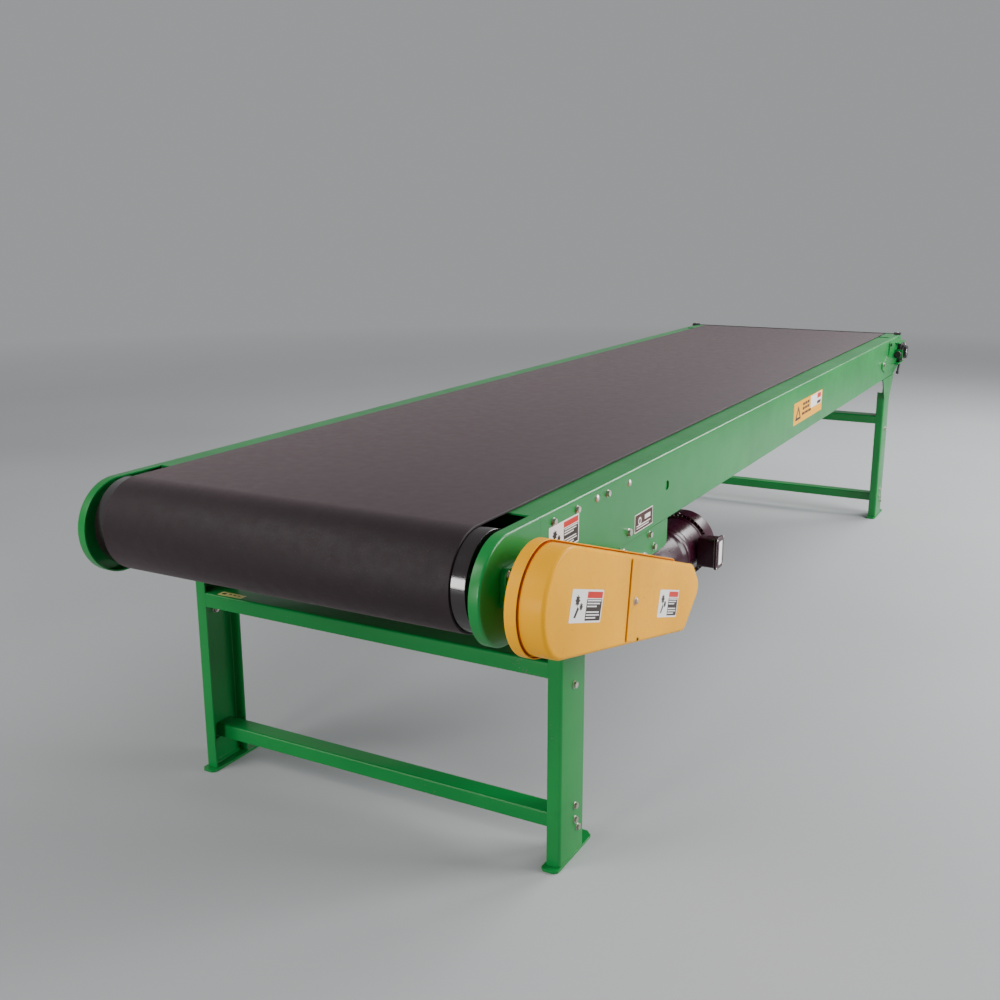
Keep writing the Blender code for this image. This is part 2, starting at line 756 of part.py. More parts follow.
def tail_bearing(name, side):
    """Block that slides between the take-up rails, with the shaft bore through it."""
    base = HALF_WIDTH + GAP + PLATE + GAP
    corners = []
    for a, b in ((-1, -1), (1, -1), (1, 1), (-1, 1)):
        corners.append((TAIL_Y + a * BLOCK_HALF_Y, TAIL_Z + b * BLOCK_HALF_Z, 0.008))
    xs = sorted((side * base, side * (base + BLOCK_DEPTH)))
    block = prism(name, rounded(corners, 4), "YZ", xs[0], xs[1], "black")
    collar = sorted((side * (base + BLOCK_DEPTH - 0.004), side * BEARING_FACE))
    join(block, peg("YZ", TAIL_Y, TAIL_Z, BLOCK_COLLAR, collar[0], collar[1], 40))
    cut(block, peg("YZ", TAIL_Y, TAIL_Z, TAIL_SHAFT_RADIUS + GAP, -THROUGH, THROUGH, 36))
    smooth(block, 30)
    return block


def take_up_screw(name, side):
    """Adjusting screw that turns in the lug and bears on the block."""
    centre = (side * (HALF_WIDTH + GAP + SCREW_OFFSET), 0, TAIL_Z)
    end = TAIL_Y - BLOCK_HALF_Y - GAP
    profile = [
        (SCREW_HEAD_START_Y, SCREW_HEAD_RADIUS - 0.0015), (SCREW_HEAD_START_Y + 0.0015, SCREW_HEAD_RADIUS),
        (SCREW_HEAD_END_Y, SCREW_HEAD_RADIUS), (SCREW_HEAD_END_Y + 0.0010, SCREW_RADIUS),
        (end - 0.0015, SCREW_RADIUS), (end, SCREW_RADIUS - 0.0015),
    ]
    return turned(name, profile, centre, "Y", "black", 24)


# ---------------------------------------------------------------- chain drive

def pitch_radius(teeth):
    return CHAIN_PITCH / (2 * math.sin(math.pi / teeth))


def sprocket(name, teeth, centre_y, centre_z, bore):
    """Toothed disc with a hub towards the conveyor."""
    pitch = pitch_radius(teeth)
    points = []
    for k in range(teeth):
        for share, reach in TOOTH_SHAPE:
            angle = math.tau * (k + share) / teeth
            radius = pitch + reach
            points.append((centre_y + radius * math.cos(angle), centre_z + radius * math.sin(angle)))
    low = SPROCKET_X - SPROCKET_THICK / 2
    high = SPROCKET_X + SPROCKET_THICK / 2
    disc = prism(name, points, "YZ", low, high, "steel")
    join(disc, peg("YZ", centre_y, centre_z, bore + HUB_WALL, low - HUB_DEPTH, low + 0.002, 32))
    cut(disc, peg("YZ", centre_y, centre_z, bore + GAP, low - 0.1, high + 0.1, 32))
    return disc


def chain_path(offset):
    """Loop round both sprockets at the pitch line, grown by an offset."""
    big = (DRIVE_Y, DRIVE_Z, pitch_radius(DRIVEN_TEETH) + offset)
    small = (OUTPUT_Y, OUTPUT_Z, pitch_radius(DRIVE_TEETH) + offset)
    dy = small[0] - big[0]
    dz = small[1] - big[1]
    heading = math.atan2(dz, dy)
    opening = math.acos((big[2] - small[2]) / math.hypot(dy, dz))
    points = arc_points(big, heading + opening, heading + math.tau - opening, CHAIN_STEPS)
    points += arc_points(small, heading - opening, heading + opening, CHAIN_STEPS // 2)
    return points


def roller_chain():
    """Chain as two runs of side plates tied by rollers on the free spans."""
    outer = chain_path(CHAIN_BAND)
    inner = chain_path(-CHAIN_BAND)
    near = SPROCKET_X - CHAIN_HALF
    far = SPROCKET_X + CHAIN_HALF
    chain = band("roller_chain", outer, inner, near, near + CHAIN_PLATE, "steel")
    other = band("strand", outer, inner, far - CHAIN_PLATE, far, "steel")
    pins = []
    middle = chain_path(0.0)
    spans = ((middle[-1], middle[0]), (middle[CHAIN_STEPS], middle[CHAIN_STEPS + 1]))
    for start, end in spans:
        for k in range(CHAIN_PINS):
            share = CHAIN_PIN_START + CHAIN_PIN_STEP * k
            cy = start[0] + (end[0] - start[0]) * share
            cz = start[1] + (end[1] - start[1]) * share
            pins.append(peg("YZ", cy, cz, CHAIN_PIN_RADIUS, near + 0.001, far - 0.001, 10))
    return join(chain, other, *pins)


# ---------------------------------------------------------------- chain guard

def guard_point(along, across):
    """World Y and Z of a point given along and across the guard's long axis."""
    c = math.cos(GUARD_TILT)
    s = math.sin(GUARD_TILT)
    return (GUARD_Y + along * c + across * s, GUARD_Z - along * s + across * c)


def guard_outline(grow=0.0):
    """Round at the pulley, tapering to a clipped nose at the reducer."""
    points = []
    start = GUARD_START_ANGLE
    for k in range(GUARD_STEPS + 1):
        angle = start + (math.tau - 2 * start) * k / GUARD_STEPS
        radius = GUARD_BIG + grow
        points.append(guard_point(radius * math.cos(angle), radius * math.sin(angle)))
    nose = rounded([
        (GUARD_WAIST, -GUARD_WAIST_HALF - grow, 0),
        (GUARD_LOW_CORNER[0] + grow * 0.6, GUARD_LOW_CORNER[1] - grow, 0.026),
        (GUARD_NOSE + grow, GUARD_NOSE_ACROSS, 0.030),
        (GUARD_TOP_CORNER[0] + grow * 0.7, GUARD_TOP_CORNER[1] + grow, 0.024),
        (GUARD_WAIST, GUARD_WAIST_HALF + grow, 0),
    ], 7)
    for along, across in nose[1:-1]:
        points.append(guard_point(along, across))
    return points


def guard_back():
    """Back pan: flat plate with a lip all round and clearance for both shafts."""
    outline = guard_outline(GUARD_LIP_OFFSET)
    pan = prism("guard_back_plate", outline, "YZ", GUARD_BACK_X, GUARD_LIP_X, "yellow")
    hollow = prism("hollow", guard_outline(GUARD_LIP_OFFSET - GUARD_SHEET), "YZ",
                   GUARD_BACK_X + GUARD_SHEET, GUARD_LIP_X + 0.01)
    big = peg("YZ", DRIVE_Y, DRIVE_Z, GUARD_DRIVE_HOLE, GUARD_BACK_X - 0.1, GUARD_BACK_X + 0.1, 40)
    small = peg("YZ", OUTPUT_Y, OUTPUT_Z, GUARD_OUTPUT_HOLE, GUARD_BACK_X - 0.1, GUARD_BACK_X + 0.1, 32)
    cut(pan, hollow, big, small)
    smooth(pan, 25)
    return pan


def seam_side(along, direction):
    """Large block on one side of a seam line drawn across the guard."""
    reach = 0.30
    far = along + direction * 2.0
    line = ((along - SEAM_SLANT * reach, reach), (along + SEAM_SLANT * reach, -reach))
    corners = []
    for a, b in line + ((far, -reach), (far, reach)):
        corners.append(guard_point(a, b))
    return prism("trim", corners, "YZ", GUARD_BACK_X - 0.1, GUARD_FACE_X + 0.1)


def guard_shell(name, span, grow, wall=GUARD_SHEET):
    """Cover shell between two seam lines: flat face and a wall running back into the pan."""
    face_x = GUARD_FACE_X + grow
    shell = prism(name, guard_outline(grow), "YZ", GUARD_WALL_START, face_x, "yellow")
    hollow = prism("hollow", guard_outline(grow - wall), "YZ", GUARD_WALL_START - 0.01, face_x - wall)
    trims = []
    if span[0] is not None:
        trims.append(seam_side(span[0], -1))
    if span[1] is not None:
        trims.append(seam_side(span[1], 1))
    return cut(shell, hollow, *trims)


def guard_covers():
    """Front cover with a raised seam band lapped over the rear cover."""
    front = guard_shell("guard_cover_front", (None, SEAM_START + SEAM_LAP), 0.0)
    step = guard_shell("step", (SEAM_START, SEAM_START + 1.5 * SEAM_LAP), SEAM_RISE, SEAM_STEP_WALL)
    lap = guard_shell("lap", (SEAM_START + SEAM_LAP / 2, SEAM_END), SEAM_RISE)
    join(front, step, lap)
    smooth(front, 25)
    rear = guard_shell("guard_cover_rear", (SEAM_START + SEAM_LAP + SEAM_CLEAR, None), 0.0)
    smooth(rear, 25)


def latch_screw():
    """Pan-head screw closing the lapped covers."""
    centre = (0, LATCH_Y, LATCH_Z)
    start = GUARD_FACE_X + SEAM_RISE + GAP
    profile = [
        (start, LATCH_RADIUS), (start + 0.0025, LATCH_RADIUS), (LATCH_FACE_X - 0.0012, 0.0050),
        (LATCH_FACE_X, 0.0032),
    ]
    return turned("guard_latch_screw", profile, centre, "X", "zinc", 24)


def guard_standoff():
    """Hat-shaped bracket holding the guard off the side frame."""
    base = HALF_WIDTH + GAP
    top = GUARD_BACK_X - GAP
    wall = STANDOFF_WALL
    ear = STANDOFF_EAR
    low = STANDOFF_START_Y
    high = STANDOFF_START_Y + STANDOFF_WIDTH
    hat = [
        (base, low - ear), (base, low + wall), (top - wall, low + wall), (top - wall, high - wall),
        (base, high - wall), (base, high + ear), (base + wall, high + ear), (base + wall, high),
        (top, high), (top, low), (base + wall, low), (base + wall, low - ear),
    ]
    return prism("guard_standoff", hat, "XY", STANDOFF_LOW_Z, STANDOFF_HIGH_Z)


# ---------------------------------------------------------------- reducer and motor

def reducer_bracket():
    """Angle bolted under the side frame, hanging down to carry the reducer."""
    inner = BRACKET_X
    outer = BRACKET_X + BRACKET_SHEET
    top = FRAME_BOTTOM - GAP
    outline = rounded([
        (BRACKET_START_Y, top, 0), (BRACKET_START_Y, BRACKET_LOW_Z, 0.020),
        (BRACKET_STEP_Y, BRACKET_LOW_Z, 0.020), (BRACKET_STEP_Y + 0.020, BRACKET_STEP_Z, 0.0),
        (BRACKET_END_Y, BRACKET_STEP_Z, 0.022), (BRACKET_END_Y, top, 0.0),
    ], 6)
    plate = prism("reducer_bracket", outline, "YZ", inner, outer)
    shelf = box("shelf", (BRACKET_SHELF_X, outer - 0.001), (BRACKET_START_Y, BRACKET_END_Y),
                (top - BRACKET_SHEET, top))
    join(plate, shelf)
    return cut(plate, peg("YZ", OUTPUT_Y, OUTPUT_Z, BRACKET_HOLE, inner - 0.05, outer + 0.05, 40))


def gear_reducer():
    """Worm reducer housing with a round output boss and an input barrel."""
    outline = rounded([
        (REDUCER_Y0, REDUCER_Z0, 0.018), (REDUCER_Y1, REDUCER_Z0, 0.018), (REDUCER_Y1, REDUCER_Z1, 0.030),
        (REDUCER_Y0, REDUCER_Z1, 0.030),
    ], 6)
    body = prism("gear_reducer", outline, "YZ", REDUCER_X0, REDUCER_X1, "dark")
    barrel = prism("barrel", circle(MOTOR_X, MOTOR_Z, BARREL_RADIUS, 40), "XZ",
                   REDUCER_Y1 - 0.010, BARREL_END_Y)
    flange = prism("flange", circle(MOTOR_X, MOTOR_Z, INPUT_FLANGE, 48), "XZ", BARREL_END_Y - 0.005,
                   ADAPTER_START_Y - GAP)
    boss = peg("YZ", OUTPUT_Y, OUTPUT_Z, BOSS_RADIUS, REDUCER_X1 - 0.003, BOSS_FACE_X, 48)
    cap = peg("YZ", OUTPUT_Y, OUTPUT_Z, CAP_RADIUS, REDUCER_X0 - CAP_DEPTH, REDUCER_X0 + 0.003, 48)
    join(body, barrel, flange, boss, cap)
    cut(body, peg("YZ", OUTPUT_Y, OUTPUT_Z, OUTPUT_RADIUS + GAP,
                  OUTPUT_START_X - 0.0005, BOSS_FACE_X + 0.02, 32))
    smooth(body, 30)
    return body


def motor_adapter():
    """Coupling housing between the reducer and the motor face."""
    profile = [
        (ADAPTER_START_Y, INPUT_FLANGE), (ADAPTER_START_Y + ADAPTER_FLANGE, INPUT_FLANGE),
        (ADAPTER_START_Y + ADAPTER_FLANGE + 0.003, ADAPTER_NECK),
        (ADAPTER_START_Y + ADAPTER_NECK_LENGTH, ADAPTER_NECK + 0.002),
        (MOTOR_START_Y - 0.022, MOTOR_RADIUS - 0.004),
        (MOTOR_START_Y - 0.016, MOTOR_RADIUS), (MOTOR_START_Y - GAP, MOTOR_RADIUS),
    ]
    return turned("motor_adapter", profile, (MOTOR_X, 0, MOTOR_Z), "Y", "dark", 44)


def motor_body():
    """Round motor frame with rolled end rings and a rear bearing boss."""
    profile = [
        (MOTOR_START_Y, MOTOR_RADIUS - MOTOR_EDGE), (MOTOR_START_Y + 0.004, MOTOR_RADIUS),
        (MOTOR_START_Y + MOTOR_RING, MOTOR_RADIUS),
        (MOTOR_START_Y + MOTOR_RING + 0.002, MOTOR_RADIUS - MOTOR_RING_STEP),
        (MOTOR_END_Y - MOTOR_RING - 0.002, MOTOR_RADIUS - MOTOR_RING_STEP),
        (MOTOR_END_Y - MOTOR_RING, MOTOR_RADIUS), (MOTOR_END_Y - 0.004, MOTOR_RADIUS),
        (MOTOR_END_Y, MOTOR_RADIUS - MOTOR_EDGE), (MOTOR_END_Y + 0.001, MOTOR_BOSS_RADIUS),
        (MOTOR_END_Y + MOTOR_BOSS_DEPTH, MOTOR_BOSS_RADIUS - 0.002),
    ]
    return turned("motor_body", profile, (MOTOR_X, 0, MOTOR_Z), "Y", "dark", 44)


def motor_fan_cover():
    """Cup over the fan with a ring of slots round its outer edge."""
    start = MOTOR_END_Y - FAN_COVER_OVERLAP
    end = FAN_COVER_END_Y
    wall = FAN_COVER_WALL
    profile = [
        (start, FAN_COVER_RADIUS), (end - FAN_COVER_EDGE, FAN_COVER_RADIUS),
        (end - 0.003, FAN_COVER_RADIUS - 0.003), (end, FAN_COVER_RADIUS - FAN_COVER_EDGE),
        (end, FAN_COVER_BORE), (end - wall, FAN_COVER_BORE),
        (end - wall, FAN_COVER_RADIUS - FAN_COVER_EDGE - 0.001),
        (end - FAN_COVER_EDGE - 0.001, FAN_COVER_RADIUS - wall),
        (start, FAN_COVER_RADIUS - wall),
    ]
    cover = turned("motor_fan_cover", profile, (MOTOR_X, 0, MOTOR_Z), "Y", "dark", 48, True)
    cutters = []
    for k in range(FAN_SLOTS):
        angle = math.tau * (k + 0.5) / FAN_SLOTS
        outline = []
        for a, b in FAN_SLOT_SHAPE:
            outline.append((MOTOR_X + a * math.cos(angle) - b * math.sin(angle),
                            MOTOR_Z + a * math.sin(angle) + b * math.cos(angle)))
        cutters.append(prism("slot", outline, "XZ", end - 0.02, end + 0.01))
    cut(cover, *cutters)
    smooth(cover, 30)
    return cover


def motor_fan():
    """Radial fan on the motor's rear shaft."""
    start = FAN_START_Y
    centre = (MOTOR_X, 0, MOTOR_Z)
    hub_profile = [(start, FAN_HUB_RADIUS), (start + FAN_HUB_DEPTH, FAN_HUB_RADIUS)]
    hub = turned("motor_fan", hub_profile, centre, "Y", "black", 32)
    disc_profile = [(start + 0.002, FAN_RADIUS), (start + 0.005, FAN_RADIUS)]
    disc = turned("disc", disc_profile, centre, "Y", "black", 48)
    blades = []
    for k in range(FAN_BLADES):
        angle = math.tau * k / FAN_BLADES
        outline = []
        for a, b in FAN_BLADE_SHAPE:
            outline.append((MOTOR_X + a * math.cos(angle) - b * math.sin(angle),
                            MOTOR_Z + a * math.sin(angle) + b * math.cos(angle)))
        blades.append(prism("blade", outline, "XZ", start + 0.003, start + FAN_BLADE_DEPTH))
    join(hub, disc, *blades)
    set_origin(hub, (MOTOR_X, start, MOTOR_Z))
    return hub


def conduit_outline(half_y, half_z, radius):
    corners = []
    for a, b in ((-1, -1), (1, -1), (1, 1), (-1, 1)):
        corners.append((CONDUIT_Y + a * half_y, CONDUIT_Z + b * half_z, radius))
    return rounded(corners, 5)


def conduit_box():
    """Terminal box on the outer side of the motor, with its lid."""
    low = MOTOR_X + MOTOR_RADIUS + GAP
    case = conduit_outline(CONDUIT_HALF_Y - CONDUIT_LIP, CONDUIT_HALF_Z - CONDUIT_LIP, 0.008)
    lid = conduit_outline(CONDUIT_HALF_Y, CONDUIT_HALF_Z, 0.010)
    body = prism("conduit_box", case, "YZ", low, CONDUIT_FACE_X - 0.006, "dark")
    return join(body, prism("lid", lid, "YZ", CONDUIT_FACE_X - 0.008, CONDUIT_FACE_X))


# ---------------------------------------------------------------- floor supports

def leg(name, side, front_y):
    """Channel leg, open side inwards, with a wider head bolted under the side frame."""
    back_y = front_y + LEG_DEPTH
    base = FOOT_THICK + GAP
    web_outline = [
        (front_y, base), (back_y, base), (back_y, LEG_TAPER_START), (back_y + LEG_TAPER, LEG_TOP),
        (front_y - LEG_TAPER, LEG_TOP), (front_y, LEG_TAPER_START),
    ]
    xs = sorted((side * HALF_WIDTH, side * (HALF_WIDTH - LEG_SHEET)))
    web = prism(name, web_outline, "YZ", xs[0], xs[1])
    reach = sorted((side * (HALF_WIDTH - 0.001), side * (HALF_WIDTH - LEG_FLANGE)))
    front = box("front", reach, (front_y, front_y + LEG_SHEET), (base, LEG_FLANGE_TOP))
    back = box("back", reach, (back_y - LEG_SHEET, back_y), (base, LEG_FLANGE_TOP))
    head = sorted((side * (HALF_WIDTH - 0.001), side * (HALF_WIDTH - LEG_CAP_WIDTH)))
    cap_ys = (front_y - LEG_TAPER + LEG_CAP_INSET, back_y + LEG_TAPER - LEG_CAP_INSET)
    cap = box("cap", head, cap_ys, (LEG_TOP - LEG_CAP_THICK, LEG_TOP))
    return join(web, front, back, cap)


def foot(name, side, front_y):
    """Floor plate with an upright tab that slides inside the leg."""
    low = side * (HALF_WIDTH + FOOT_PROUD - FOOT_WIDTH)
    high = side * (HALF_WIDTH + FOOT_PROUD)
    y0 = front_y - FOOT_FRONT
    y1 = front_y + LEG_DEPTH + FOOT_BACK
    clip = FOOT_CLIP * side
    outline = [
        (low, y0 + FOOT_CLIP), (low + clip, y0), (high - clip, y0), (high, y0 + FOOT_CLIP),
        (high, y1 - 2 * FOOT_CLIP), (high - 2 * clip, y1), (low + clip, y1), (low, y1 - FOOT_CLIP),
    ]
    plate = prism(name, outline, "XY", 0.0, FOOT_THICK)
    inner = HALF_WIDTH - LEG_SHEET - GAP
    xs = sorted((side * (inner - FOOT_TAB_THICK), side * inner))
    ys = (front_y + LEG_SHEET + FOOT_TAB_CLEAR, front_y + LEG_DEPTH - LEG_SHEET - FOOT_TAB_CLEAR)
    tab = box("tab", xs, ys, (FOOT_THICK - 0.001, FOOT_TAB_TOP))
    join(plate, tab)
    set_origin(plate, (side * (HALF_WIDTH - 0.02), front_y + LEG_DEPTH / 2, FOOT_THICK))
    return plate


def upper_beam(name, front_y):
    """Angle between the legs: flat top and a front face flush with the leg flanges."""
    inside = HALF_WIDTH - LEG_FLANGE - GAP
    reach = HALF_WIDTH - LEG_SHEET - GAP
    notch = front_y + LEG_SHEET + GAP
    back = front_y + UPPER_BEAM_DEPTH
    outline = [
        (-inside, front_y), (inside, front_y), (inside, notch), (reach, notch), (reach, back),
        (-reach, back), (-reach, notch), (-inside, notch),
    ]
    top = prism(name, outline, "XY", UPPER_BEAM_TOP - BEAM_SHEET, UPPER_BEAM_TOP)
    face = box("face", (-inside, inside), (front_y, front_y + BEAM_SHEET),
               (UPPER_BEAM_BOTTOM, UPPER_BEAM_TOP - 0.001))
    return join(top, face)


def lower_beam(name, front_y):
    """Angle between the leg webs, set back inside the channels."""
    reach = HALF_WIDTH - LEG_SHEET - GAP
    y0 = front_y + LOWER_BEAM_SET_BACK
    y1 = y0 + LOWER_BEAM_DEPTH
    profile = [
        (y0, LOWER_BEAM_BOTTOM), (y0 + BEAM_SHEET, LOWER_BEAM_BOTTOM),
        (y0 + BEAM_SHEET, LOWER_BEAM_TOP - BEAM_SHEET), (y1, LOWER_BEAM_TOP - BEAM_SHEET),
        (y1, LOWER_BEAM_TOP), (y0, LOWER_BEAM_TOP),
    ]
    return prism(name, profile, "YZ", -reach, reach)


def supports():
    for end, front_y in zip(("near", "far"), LEG_YS):
        for side_name, side in (("left", -1), ("right", 1)):
            leg("leg_%s_%s" % (end, side_name), side, front_y)
            foot("foot_%s_%s" % (end, side_name), side, front_y)
        upper_beam("upper_beam_" + end, front_y)
        lower_beam("lower_beam_" + end, front_y)


def conveyor_frame():
    for side_name, side in (("left", -1), ("right", 1)):
        side_frame("side_frame_" + side_name, side)
        drive_end_plate("drive_end_plate_" + side_name, side)
        take_up_plate("take_up_plate_" + side_name, side)
    slider_bed()
    for index, centre_y in enumerate(BRACE_YS):
        cross_brace(index + 1, centre_y)
    tail_nip_strip()


def rotating_parts():
    drive = drum("drive_pulley", DRIVE_Y, DRIVE_Z, DRIVE_RADIUS, PULLEY_HALF, PULLEY_SHELL,
                 DRIVE_SHAFT_RADIUS + GAP, PULLEY_RECESS, PULLEY_DISC, "black", PULLEY_SEGMENTS)
    set_origin(drive, (0, DRIVE_Y, DRIVE_Z))
    tail = drum("tail_pulley", TAIL_Y, TAIL_Z, TAIL_RADIUS, PULLEY_HALF, PULLEY_SHELL,
                TAIL_SHAFT_RADIUS + GAP, PULLEY_RECESS, PULLEY_DISC, "black", PULLEY_SEGMENTS)
    set_origin(tail, (0, TAIL_Y, TAIL_Z))
    drive_shaft = shaft("drive_shaft", DRIVE_Y, DRIVE_Z, DRIVE_SHAFT_RADIUS, -BEARING_FACE, SHAFT_END_X)
    set_origin(drive_shaft, (0, DRIVE_Y, DRIVE_Z))
    tail_shaft = shaft("tail_shaft", TAIL_Y, TAIL_Z, TAIL_SHAFT_RADIUS, -BEARING_FACE, BEARING_FACE)
    set_origin(tail_shaft, (0, TAIL_Y, TAIL_Z))
    roller_pair("snub_roller", SNUB_Y)
    for index, centre_y in enumerate(RETURN_YS):
        roller_pair("return_roller_%d" % (index + 1), centre_y)
    for side_name, side in (("left", -1), ("right", 1)):
        flange_bearing("drive_bearing_" + side_name, side, DRIVE_Y, DRIVE_Z, DRIVE_SHAFT_RADIUS)
        tail_bearing("tail_bearing_" + side_name, side)
        take_up_screw("take_up_screw_" + side_name, side)


def drive_parts():
    driven = sprocket("driven_sprocket", DRIVEN_TEETH, DRIVE_Y, DRIVE_Z, DRIVE_SHAFT_RADIUS)
    set_origin(driven, (0, DRIVE_Y, DRIVE_Z))
    driver = sprocket("drive_sprocket", DRIVE_TEETH, OUTPUT_Y, OUTPUT_Z, OUTPUT_RADIUS)
    set_origin(driver, (0, OUTPUT_Y, OUTPUT_Z))
    output = shaft("reducer_output_shaft", OUTPUT_Y, OUTPUT_Z, OUTPUT_RADIUS, OUTPUT_START_X, SHAFT_END_X)
    set_origin(output, (0, OUTPUT_Y, OUTPUT_Z))
    roller_chain()
    guard_back()
    guard_covers()
    latch_screw()
    guard_standoff()
    reducer_bracket()
    gear_reducer()
    motor_adapter()
    motor_body()
    motor_fan_cover()
    motor_fan()
    conduit_box()


def centre_on_floor():
    """Put the origin at the centre of the footprint."""
    for piece in bpy.data.objects:
        piece.location.x -= CENTRE_X
        piece.location.y -= CENTRE_Y


clear_scene()
conveyor_frame()
belt()
rotating_parts()
drive_parts()
supports()
centre_on_floor()
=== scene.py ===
"""Looks for the slider-bed belt conveyor section: bent sheet metal, enamel, belt cover,
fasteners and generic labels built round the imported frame."""
import math

import bmesh
import bpy
from mathutils import Matrix, Vector


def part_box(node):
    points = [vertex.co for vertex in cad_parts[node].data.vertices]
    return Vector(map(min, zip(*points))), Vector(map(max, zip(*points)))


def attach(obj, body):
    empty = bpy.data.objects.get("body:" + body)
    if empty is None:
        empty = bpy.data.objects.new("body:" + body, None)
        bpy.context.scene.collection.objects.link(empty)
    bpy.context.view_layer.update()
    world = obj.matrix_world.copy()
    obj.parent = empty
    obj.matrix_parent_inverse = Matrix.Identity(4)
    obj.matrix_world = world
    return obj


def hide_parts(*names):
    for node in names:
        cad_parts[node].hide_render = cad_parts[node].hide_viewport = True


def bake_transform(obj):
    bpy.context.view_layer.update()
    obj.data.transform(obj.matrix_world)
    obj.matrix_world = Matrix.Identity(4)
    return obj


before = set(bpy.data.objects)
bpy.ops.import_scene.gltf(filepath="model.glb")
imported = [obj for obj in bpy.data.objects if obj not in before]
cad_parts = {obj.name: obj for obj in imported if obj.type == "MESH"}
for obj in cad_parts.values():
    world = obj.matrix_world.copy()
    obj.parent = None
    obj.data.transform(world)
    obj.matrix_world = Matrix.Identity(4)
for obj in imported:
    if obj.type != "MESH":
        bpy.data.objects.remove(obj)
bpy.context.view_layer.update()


# ------------------------------------------------------------------ places, read from the frame

def centre(node):
    low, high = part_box(node)
    return (low + high) / 2


def reach(node):
    """Radius of a round node that turns about X."""
    low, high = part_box(node)
    return (high.z - low.z) / 2


def half_width(node):
    low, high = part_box(node)
    return (high.x - low.x) / 2


SIDE_LOW, SIDE_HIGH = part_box("side_frame_right")
MID_X = centre("belt").x
HALF_WIDTH = SIDE_HIGH.x - MID_X
TOP = SIDE_HIGH.z
BOTTOM = SIDE_LOW.z
START_Y = SIDE_LOW.y
END_Y = SIDE_HIGH.y
FRONT_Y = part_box("drive_end_plate_right")[0].y
DRIVE = centre("drive_pulley")
TAIL = centre("tail_pulley")
DRIVE_RADIUS = reach("drive_pulley")
TAIL_RADIUS = reach("tail_pulley")
BELT_LOW, BELT_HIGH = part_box("belt")
BED_LOW, BED_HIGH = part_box("slider_bed")

SHEET = 0.0035
BEND = 0.0060
GAP = 0.0003
FLANGE = 0.025
BOTTOM_FLANGE = 0.045
BELT_THICK = BELT_HIGH.z - (DRIVE.z + DRIVE_RADIUS + 0.0006)
SIDES = (("left", -1), ("right", 1))


def web_x(side, inset=0.0):
    """X of the side frame's outer face, or a place inset from it."""
    return MID_X + side * (HALF_WIDTH - inset)


def outward(side):
    """Facing of the side frame's outer face."""
    return "+X" if side > 0 else "-X"


def between(side, first, second):
    """X range between two insets from the outer face."""
    return sorted((web_x(side, first), web_x(side, second)))


# ------------------------------------------------------------------ mesh helpers

def finish_mesh(name, mesh, material, smooth=35):
    piece = bpy.data.objects.new(name, mesh)
    bpy.context.scene.collection.objects.link(piece)
    mesh.materials.clear()
    mesh.materials.append(material)
    for face in mesh.polygons:
        face.material_index = 0
        face.use_smooth = True
    mesh.set_sharp_from_angle(angle=math.radians(smooth))
    return piece


def solid(name, verts, faces, material, smooth=35):
    """Closed mesh from points and faces, with its faces turned outwards."""
    mesh = bpy.data.meshes.new(name)
    mesh.from_pydata([tuple(v) for v in verts], [], faces)
    work = bmesh.new()
    work.from_mesh(mesh)
    bmesh.ops.recalc_face_normals(work, faces=work.faces)
    if work.calc_volume(signed=True) < 0:
        bmesh.ops.reverse_faces(work, faces=work.faces)
    work.to_mesh(mesh)
    work.free()
    return finish_mesh(name, mesh, material, smooth)


def loft(name, loops, material, smooth=35, closed=False):
    """Skin a stack of equal loops of points; the ends are capped unless the stack is closed."""
    count = len(loops[0])
    verts = [point for loop in loops for point in loop]
    faces = []
    rings = len(loops)
    for r in range(rings if closed else rings - 1):
        a = r * count
        b = ((r + 1) % rings) * count
        for i in range(count):
            j = (i + 1) % count
            faces.append((a + i, a + j, b + j, b + i))
    if not closed:
        faces.append(tuple(range(count)))
        faces.append(tuple(range((rings - 1) * count, rings * count)))
    return solid(name, verts, faces, material, smooth)


def on_plane(plane, a, b, depth):
    if plane == "YZ":
        return (depth, a, b)
    if plane == "XZ":
        return (a, depth, b)
    return (a, b, depth)


def extrude(name, outline, plane, low, high, material, smooth=35):
    loops = []
    for depth in (low, high):
        loops.append([on_plane(plane, a, b, depth) for a, b in outline])
    return loft(name, loops, material, smooth)


def block(name, xs, ys, zs, material):
    outline = [(ys[0], zs[0]), (ys[1], zs[0]), (ys[1], zs[1]), (ys[0], zs[1])]
    return extrude(name, outline, "YZ", min(xs), max(xs), material)


AXES = {"+X": (Vector((1, 0, 0)), Vector((0, 1, 0)), Vector((0, 0, 1))),
        "-X": (Vector((-1, 0, 0)), Vector((0, -1, 0)), Vector((0, 0, 1))),
        "+Y": (Vector((0, 1, 0)), Vector((0, 0, 1)), Vector((1, 0, 0))),
        "-Y": (Vector((0, -1, 0)), Vector((0, 0, 1)), Vector((-1, 0, 0))),
        "+Z": (Vector((0, 0, 1)), Vector((1, 0, 0)), Vector((0, 1, 0))),
        "-Z": (Vector((0, 0, -1)), Vector((0, 1, 0)), Vector((1, 0, 0)))}


def angles(count, offset=0.0):
    """Equal steps round a full turn."""
    return [math.tau * (k + offset) / count for k in range(count)]


def revolve(name, profile, place, basis, material, segments, smooth=30, hollow=False):
    """Revolve (along, radius) pairs about the first direction of basis, starting at place."""
    out, across, lift = basis
    loops = []
    for along, radius in profile:
        loop = []
        for angle in angles(segments):
            spoke = across * math.cos(angle) + lift * math.sin(angle)
            loop.append(Vector(place) + out * along + spoke * radius)
        loops.append(loop)
    return loft(name, loops, material, smooth, closed=hollow)


def turned(name, profile, place, material, axis="X", segments=64, hollow=False):
    return revolve(name, profile, place, AXES["+" + axis], material, segments, hollow=hollow)


